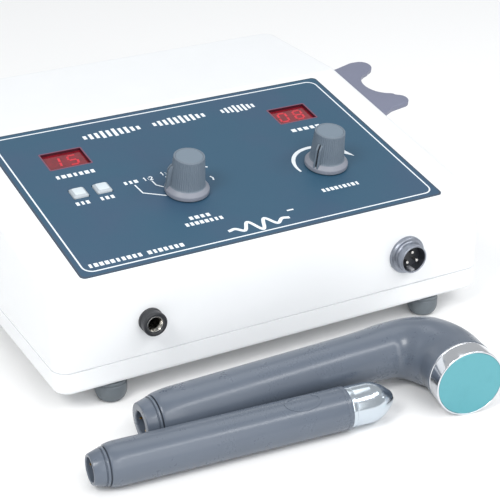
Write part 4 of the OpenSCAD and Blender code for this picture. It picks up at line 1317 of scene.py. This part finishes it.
@dataclass
class TailCap:
    """The tapered tail of an applicator, with a ring, a groove and an open socket."""

    inner_r: float
    root_r: float
    tail_r: float
    length: float = 8.3
    bore_r: float = 6.2
    spigot: float = 5.0

    def build(self, name: str, body: str, place: Matrix, node: str) -> bpy.types.Object:
        """Builds the tail at an applicator's place."""
        cone, ring, plug = self.root_r - 1.6, self.root_r - 1.2, self.inner_r - 0.15
        end, tip = self.length, self.length + self.spigot
        piece = turned(name, place, Look.HANDLE_GREY.value, [
            (self.bore_r, 0.5, 0.2), (self.bore_r + 0.45, 0.0, 0.2), (self.tail_r, 0.0, 0.7),
            (cone, end - 2.6, 0.3), (cone - 0.5, end - 2.2, 0.2), (cone - 0.5, end - 1.9, 0.1),
            (ring, end - 1.8, 0.3), (ring, end - 0.55, 0.3), (plug, end - 0.45, 0.1), (plug, tip, 0.5),
            (self.bore_r, tip),
        ], level=True)
        return settle(piece, body, Look.HANDLE_GREY, node)


@dataclass
class LargeApplicator:
    """The angled applicator: a round handle that bends through an elbow to a wide treatment head."""

    places: Places
    body: str = "large_applicator"
    radius: float = 14.0
    length: float = 170.7
    neck: float = 50.1
    turn: float = 98.1
    elbow_r: float = 26.0
    run_up: float = 24.0
    head_r: float = 18.8
    band: float = 11.0
    shell: float = 2.4
    tail: float = 8.3
    shoulder: float = 12.0
    spigot: float = 5.0
    sides: int = 72

    @staticmethod
    def swell(t: float) -> float:
        """How far the handle has widened towards its head, from the elbow's start to its end."""
        u = min(1.0, t / 0.6)
        return 0.2 + 0.72 * u * u * (3 - 2 * u)

    def stations(self, thin: float) -> list[tuple[Vector, float, float]]:
        """Centres, headings and radii along the handle, for its skin or, made thinner, its inside."""
        turn = math.radians(self.turn)
        reach = self.elbow_r * math.tan(turn / 2)
        bend_x = self.length - reach
        out: list[tuple[Vector, float, float]] = []

        def add(x: float, y: float, heading: float, r: float) -> None:
            """Adds one station."""
            out.append((Vector((x, y)), heading, r - thin))

        for d, give in ((0.0, 1.45), (0.25, 1.2), (0.9, 1.06)):
            add(self.tail + d, 0, 0.0, self.radius - give)
        for t in (k / 8 for k in range(1, 9)):
            add(self.tail + self.shoulder * t, 0, 0.0, self.radius - 1.1 * (1 - t) ** 2)
        widening = self.head_r - 0.04 - self.radius
        straight = bend_x - self.run_up - self.tail - self.shoulder
        for t in (k / 8 for k in range(1, 8)):
            add(self.tail + self.shoulder + straight * t, 0, 0.0, self.radius)
        for t in (k / 12 for k in range(12)):
            add(bend_x - self.run_up * (1 - t), 0, 0.0, self.radius + widening * self.swell(0) * t * t)
        for t in (k / 48 for k in range(49)):
            a = turn * t
            x, y = bend_x + self.elbow_r * math.sin(a), -self.elbow_r * (1 - math.cos(a))
            add(x, y, -a, self.radius + widening * self.swell(t))
        neck_end = self.neck - self.band
        for t in (k / 6 for k in range(1, 7)):
            d = reach + (neck_end - 0.25 - reach) * t
            r = self.radius + widening * (self.swell(1) * (1 - t) + t)
            add(self.length + d * math.cos(turn), -d * math.sin(turn), -turn, r)
        x, y = self.length + neck_end * math.cos(turn), -neck_end * math.sin(turn)
        add(x, y, -turn, self.head_r - 0.35)
        return out

    def hoop(self, forge: Forge, station: tuple[Vector, float, float]) -> list[int]:
        """One ring of the handle, square to its heading."""
        centre, heading, r = station
        ring = []
        for k in range(self.sides):
            a = math.tau * k / self.sides
            side = r * math.cos(a)
            x = centre.x - side * math.sin(heading)
            y = centre.y + side * math.cos(heading)
            ring.append(Vector((y, r * math.sin(a), x)))
        return forge.ring(ring)

    def handle(self, place: Matrix) -> bpy.types.Object:
        """The handle as a tube of even wall."""
        forge = Forge()
        outer = [self.hoop(forge, s) for s in self.stations(0.0)]
        inner = [self.hoop(forge, s) for s in self.stations(self.shell)]
        forge.loft(outer + inner[::-1], True)
        piece = forge.make("large_handle_grip", place, [Look.HANDLE_GREY.value], 40, True)
        return settle(piece, self.body, Look.HANDLE_GREY, "large_handle")

    def head(self, place: Matrix) -> None:
        """The plated band with its spigot, and the flat face let into it."""
        turn = math.radians(self.turn)
        centre = Vector((-self.neck * math.sin(turn), 0.0, self.length + self.neck * math.cos(turn)))
        out_dir = Vector((-math.sin(turn), 0.0, math.cos(turn)))
        up = Vector((0, 1, 0))
        face_place = place @ axes(up.cross(out_dir), up, out_dir, centre)
        r, b = self.head_r, self.band
        spigot_r, hollow_r, root = r - self.shell - 1.1, r - self.shell - 2.5, -b - self.spigot
        piece = turned("large_head_band", face_place, HEAD_CHROME, [
            (hollow_r, root), (spigot_r, root, 0.3), (spigot_r, -b + 0.05), (r - 0.25, -b + 0.05, 0.2),
            (r - 0.1, -b + 1.1, 0.15), (r - 0.45, -b + 1.3, 0.1), (r - 0.45, -b + 1.65, 0.1),
            (r, -b + 1.9, 0.2), (r, 0.0, 0.55), (r - 0.8, 0.0, 0.2), (r - 0.95, -0.3, 0.1), (r - 0.95, -2.0),
            (hollow_r, -2.0),
        ], 128, level=True)
        settle(piece, self.body, Look.BRIGHT_CHROME, "large_head")
        disc = [(0, -2.0), (r - 1.0, -2.0), (r - 1.0, -0.12, 0.2), (r - 3.0, -0.1), (0, -0.1)]
        piece = turned("large_head_face", face_place, FACE_METAL, disc, 128, closed=False, level=True)
        settle(piece, self.body, Look.BRIGHT_CHROME)

    def build(self) -> None:
        """Builds the whole applicator."""
        place = self.places.applicator("large_tail_socket")
        self.handle(place)
        TailCap(self.radius - 1.1 - self.shell, self.radius - 0.6, 10.5).build(
            "large_tail_collar", self.body, place, "large_tail_cap")
        self.head(place)


@dataclass
class SmallApplicator:
    """The straight applicator: a slim handle with a badge ring and a bright stepped tip."""

    places: Places
    body: str = "small_applicator"
    radius: float = 11.3
    length: float = 163.3
    band: float = 13.0
    tip: float = 13.5
    tip_r: float = 4.6
    tip_round: float = 1.8
    shell: float = 2.4
    tail: float = 8.3
    shoulder: float = 12.0
    spigot: float = 5.0

    def handle(self, place: Matrix) -> bpy.types.Object:
        """The turned handle, as a tube."""
        end = self.length - self.tip - self.band
        r, inner = self.radius, self.radius - self.shell
        profile = [(inner, self.tail), (r - 1.1, self.tail, 0.25), (r - 0.75, self.tail + 0.5, 0.2)]
        for t in (k / 6 for k in range(1, 7)):
            profile.append((r - 0.75 * (1 - t) ** 2, self.tail + 0.5 + (self.shoulder / 2 - 0.5) * t))
        profile += [
            (r, self.tail + 40), (r, self.tail + 80), (r, end - 3.2, 0.2), (r - 0.25, end - 2.9, 0.1),
            (r - 0.25, end - 2.6, 0.1), (r, end - 2.3, 0.2), (r, end - 0.02, 0.4), (inner, end - 0.02),
        ]
        piece = turned("small_handle_grip", place, Look.HANDLE_GREY.value, profile, steps=3, level=True)
        return settle(piece, self.body, Look.HANDLE_GREY, "small_handle")

    def badge(self, place: Matrix) -> bpy.types.Object:
        """A low oval ring moulded on the upper side, wrapped on the handle."""
        middle = self.length - self.tip - self.band - 25.0
        forge = Forge()
        rings = []
        count, low, high = 56, self.radius - 0.37, self.radius + 0.3
        for a in (math.tau * k / count for k in range(count)):
            ring = []
            for across, lift in ((-0.85, low), (-0.6, high), (0.6, high), (0.85, low)):
                along = middle + (9.5 + across) * math.cos(a)
                angle = math.radians(100) + (5.2 + across) * math.sin(a) / self.radius
                ring.append(Vector((lift * math.cos(angle), lift * math.sin(angle), along)))
            rings.append(forge.ring(ring))
        forge.loft(rings, True)
        piece = forge.make("small_handle_badge", place, [Look.HANDLE_GREY.value], 30, True)
        return settle(piece, self.body, Look.HANDLE_GREY)

    def head(self, place: Matrix) -> None:
        """The plated band and the rounded tip with a flat treatment face."""
        r, end = self.radius - 0.55, self.length
        start, band_end = end - self.tip - self.band, end - self.tip
        spigot, root = self.radius - self.shell - 0.15, start - self.spigot
        profile = [(spigot - 1.4, root), (spigot, root, 0.3), (spigot, start), (r - 0.15, start, 0.1),
                   (r, start + 0.5, 0.2), (r, start + 2.0, 0.1), (r - 0.3, start + 2.25, 0.1),
                   (r - 0.3, start + 2.55, 0.1), (r, start + 2.8, 0.1), (r, band_end - 0.6, 0.6)]
        for t in (k / 12 for k in range(1, 13)):
            shrink = (r - 0.1 - self.tip_r) * (1 - t ** self.tip_round)
            profile.append((self.tip_r + shrink, band_end + (self.tip - 1.5) * t))
        profile += [(self.tip_r - 1.0, end - 0.4, 0.6), (self.tip_r - 2.4, end, 0.8), (0, end)]
        profile += [(0, band_end - 4.0), (spigot - 1.4, band_end - 4.0)]
        forge = Forge()
        forge.lathe(fillet(profile[:-2], False, 4) + profile[-2:], 112, True)
        piece = forge.make("small_head_tip", place, [TIP_METAL], 40, True)
        settle(piece, self.body, Look.BRIGHT_CHROME, "small_head")

    def build(self) -> None:
        """Builds the whole applicator."""
        place = self.places.applicator("small_tail_socket")
        self.handle(place)
        self.badge(place)
        TailCap(self.radius - self.shell, self.radius - 0.3, 7.7).build(
            "small_tail_collar", self.body, place, "small_tail_cap")
        self.head(place)


# ------------------------------------------------------------- carried-over parts


@dataclass
class CadDressing:
    """Dresses the CAD nodes that stay: finish by slot, welded corners, smooth shading and softened edges."""

    nodes: dict
    soft_nodes: frozenset = frozenset({
        "rocker_switch", "rocker_frame", "mains_inlet", "fuse_cap", "fuse_holder", "jack_body",
        "control_chips", "heat_sink", "power_transistors",
    })
    soft_edge: float = 0.3
    turns_sharp: float = 32.0

    def shading(self) -> bpy.types.NodeTree:
        """Modifier nodes that weld a mesh and keep only its steep edges sharp."""
        tree = bpy.data.node_groups.new("weld_and_smooth", "GeometryNodeTree")
        tree.interface.new_socket("Geometry", in_out="INPUT", socket_type="NodeSocketGeometry")
        tree.interface.new_socket("Geometry", in_out="OUTPUT", socket_type="NodeSocketGeometry")
        start, end = tree.nodes.new("NodeGroupInput"), tree.nodes.new("NodeGroupOutput")
        weld = tree.nodes.new("GeometryNodeMergeByDistance")
        weld.inputs["Distance"].default_value = 2e-6
        faces = tree.nodes.new("GeometryNodeSetShadeSmooth")
        edges = tree.nodes.new("GeometryNodeSetShadeSmooth")
        edges.domain = "EDGE"
        angle = tree.nodes.new("GeometryNodeInputMeshEdgeAngle")
        below = tree.nodes.new("FunctionNodeCompare")
        below.operation = "LESS_THAN"
        below.inputs["B"].default_value = math.radians(self.turns_sharp)
        link = tree.links.new
        link(start.outputs[0], weld.inputs["Geometry"])
        link(weld.outputs[0], faces.inputs["Geometry"])
        link(faces.outputs[0], edges.inputs["Geometry"])
        link(angle.outputs["Unsigned Angle"], below.inputs["A"])
        link(below.outputs[0], edges.inputs["Shade Smooth"])
        link(edges.outputs[0], end.inputs[0])
        return tree

    def build(self) -> None:
        """Dresses every node."""
        tree = self.shading()
        slots = {look.name.lower(): look.value for look in Look}
        for name in sorted(self.nodes):
            node = self.nodes[name]
            for holder in node.material_slots:
                slot = holder.material.name.split(".")[0]
                holder.material = slots[slot].material()
                log.info("%s keeps its CAD shape in %s", name, slot)
            custom = node.data.attributes.get("custom_normal")
            if custom:
                node.data.attributes.remove(custom)
            node.modifiers.new("shading", "NODES").node_group = tree
            if name in self.soft_nodes:
                bevel = node.modifiers.new("soft edges", "BEVEL")
                bevel.width, bevel.segments = self.soft_edge * MM, 2
                bevel.limit_method, bevel.angle_limit = "ANGLE", math.radians(50)
            weighted = node.modifiers.new("even faces", "WEIGHTED_NORMAL")
            weighted.keep_sharp, weighted.weight = True, 90


# ----------------------------------------------------------------------- studio


@dataclass
class Studio:
    """Camera, floor and soft lights."""

    target: Vector = field(default_factory=lambda: Vector((33.38, 40.14, 4.0)))
    azimuth: float = -28.62
    elevation: float = 26.21
    distance: float = 945.2
    lens: float = 107.9
    sensor: float = 36.0

    def camera(self) -> None:
        """Puts the camera at the set's three-quarter view."""
        a, e = math.radians(self.azimuth), math.radians(self.elevation)
        back = Vector((math.sin(a) * math.cos(e), -math.cos(a) * math.cos(e), math.sin(e)))
        data = bpy.data.cameras.new("view")
        data.lens, data.sensor_width, data.clip_end = self.lens, self.sensor, 20.0
        camera = bpy.data.objects.new("view", data)
        camera.location = (self.target + back * self.distance) * MM
        camera.rotation_euler = (-back).to_track_quat("-Z", "Y").to_euler()
        bpy.context.scene.collection.objects.link(camera)
        bpy.context.scene.camera = camera

    def lamp(self, name: str, place: Colour, size: tuple[float, float], power: float, colour: Colour) -> None:
        """One soft light, wide and high in metres, that looks at the set's middle."""
        data = bpy.data.lights.new(name, "AREA")
        data.shape, data.energy, data.color = "RECTANGLE", power, colour
        data.size, data.size_y = size
        lamp = bpy.data.objects.new(name, data)
        lamp.location = place
        lamp.rotation_euler = (Vector((0.0, 0.0, 0.04)) - Vector(place)).to_track_quat("-Z", "Y").to_euler()
        bpy.context.scene.collection.objects.link(lamp)

    def floor(self) -> None:
        """A wide pale floor."""
        forge = Forge()
        forge.slab(rounded_rectangle(9000, 9000, 400), -20, 0, 0, 0)
        forge.make("studio_floor", Matrix.Identity(4), [PAPER])

    def world(self) -> None:
        """An even pale surround."""
        world = bpy.data.worlds.new("surround")
        world.use_nodes = True
        shader = world.node_tree.nodes["Background"]
        shader.inputs["Color"].default_value = (0.96, 0.98, 1.0, 1.0)
        shader.inputs["Strength"].default_value = 0.55
        bpy.context.scene.world = world

    def build(self) -> None:
        """Sets up the whole studio."""
        scene = bpy.context.scene
        scene.view_settings.view_transform = "Standard"
        scene.view_settings.look = "None"
        self.camera()
        self.floor()
        self.world()
        self.lamp("key", (-0.95, -0.55, 1.15), (0.5, 0.5), 9.5, (1.0, 0.99, 0.97))
        self.lamp("front", (-0.2, -1.7, 0.7), (1.2, 1.2), 8.5, (1.0, 1.0, 1.0))
        self.lamp("strip", (0.45, -0.85, 1.1), (2.0, 0.22), 9.0, (1.0, 1.0, 1.0))
        self.lamp("top", (0.3, 0.5, 1.8), (1.2, 1.2), 5.5, (0.97, 0.99, 1.0))


def main() -> None:
    """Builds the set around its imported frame."""
    logging.basicConfig(level=logging.INFO, format="%(message)s")
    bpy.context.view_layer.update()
    Studio().build()
    places = Places(frame["record"], frame["joints"])
    CadDressing(frame["nodes"]).build()
    ControlPanel(places).build()
    Key(places, "set_key_cap", "set_key", "set_button", -81.7).build()
    Key(places, "reset_key_cap", "reset_key", "reset_button", -67.6).build()
    Knob(places, "mode_pointer_knob", "mode_control", "mode_knob", -24.6, MODE_KNOB_S, 166.0).build()
    Knob(places, "intensity_pointer_knob", "intensity_control", "intensity_knob", 63.8, 63.7, 208.0).build()
    Jack(places).build()
    ProbeSocket(places).build()
    Feet(places).build()
    Cradle(places).build()
    LargeApplicator(places).build()
    SmallApplicator(places).build()


if __name__ == "__main__":
    main()
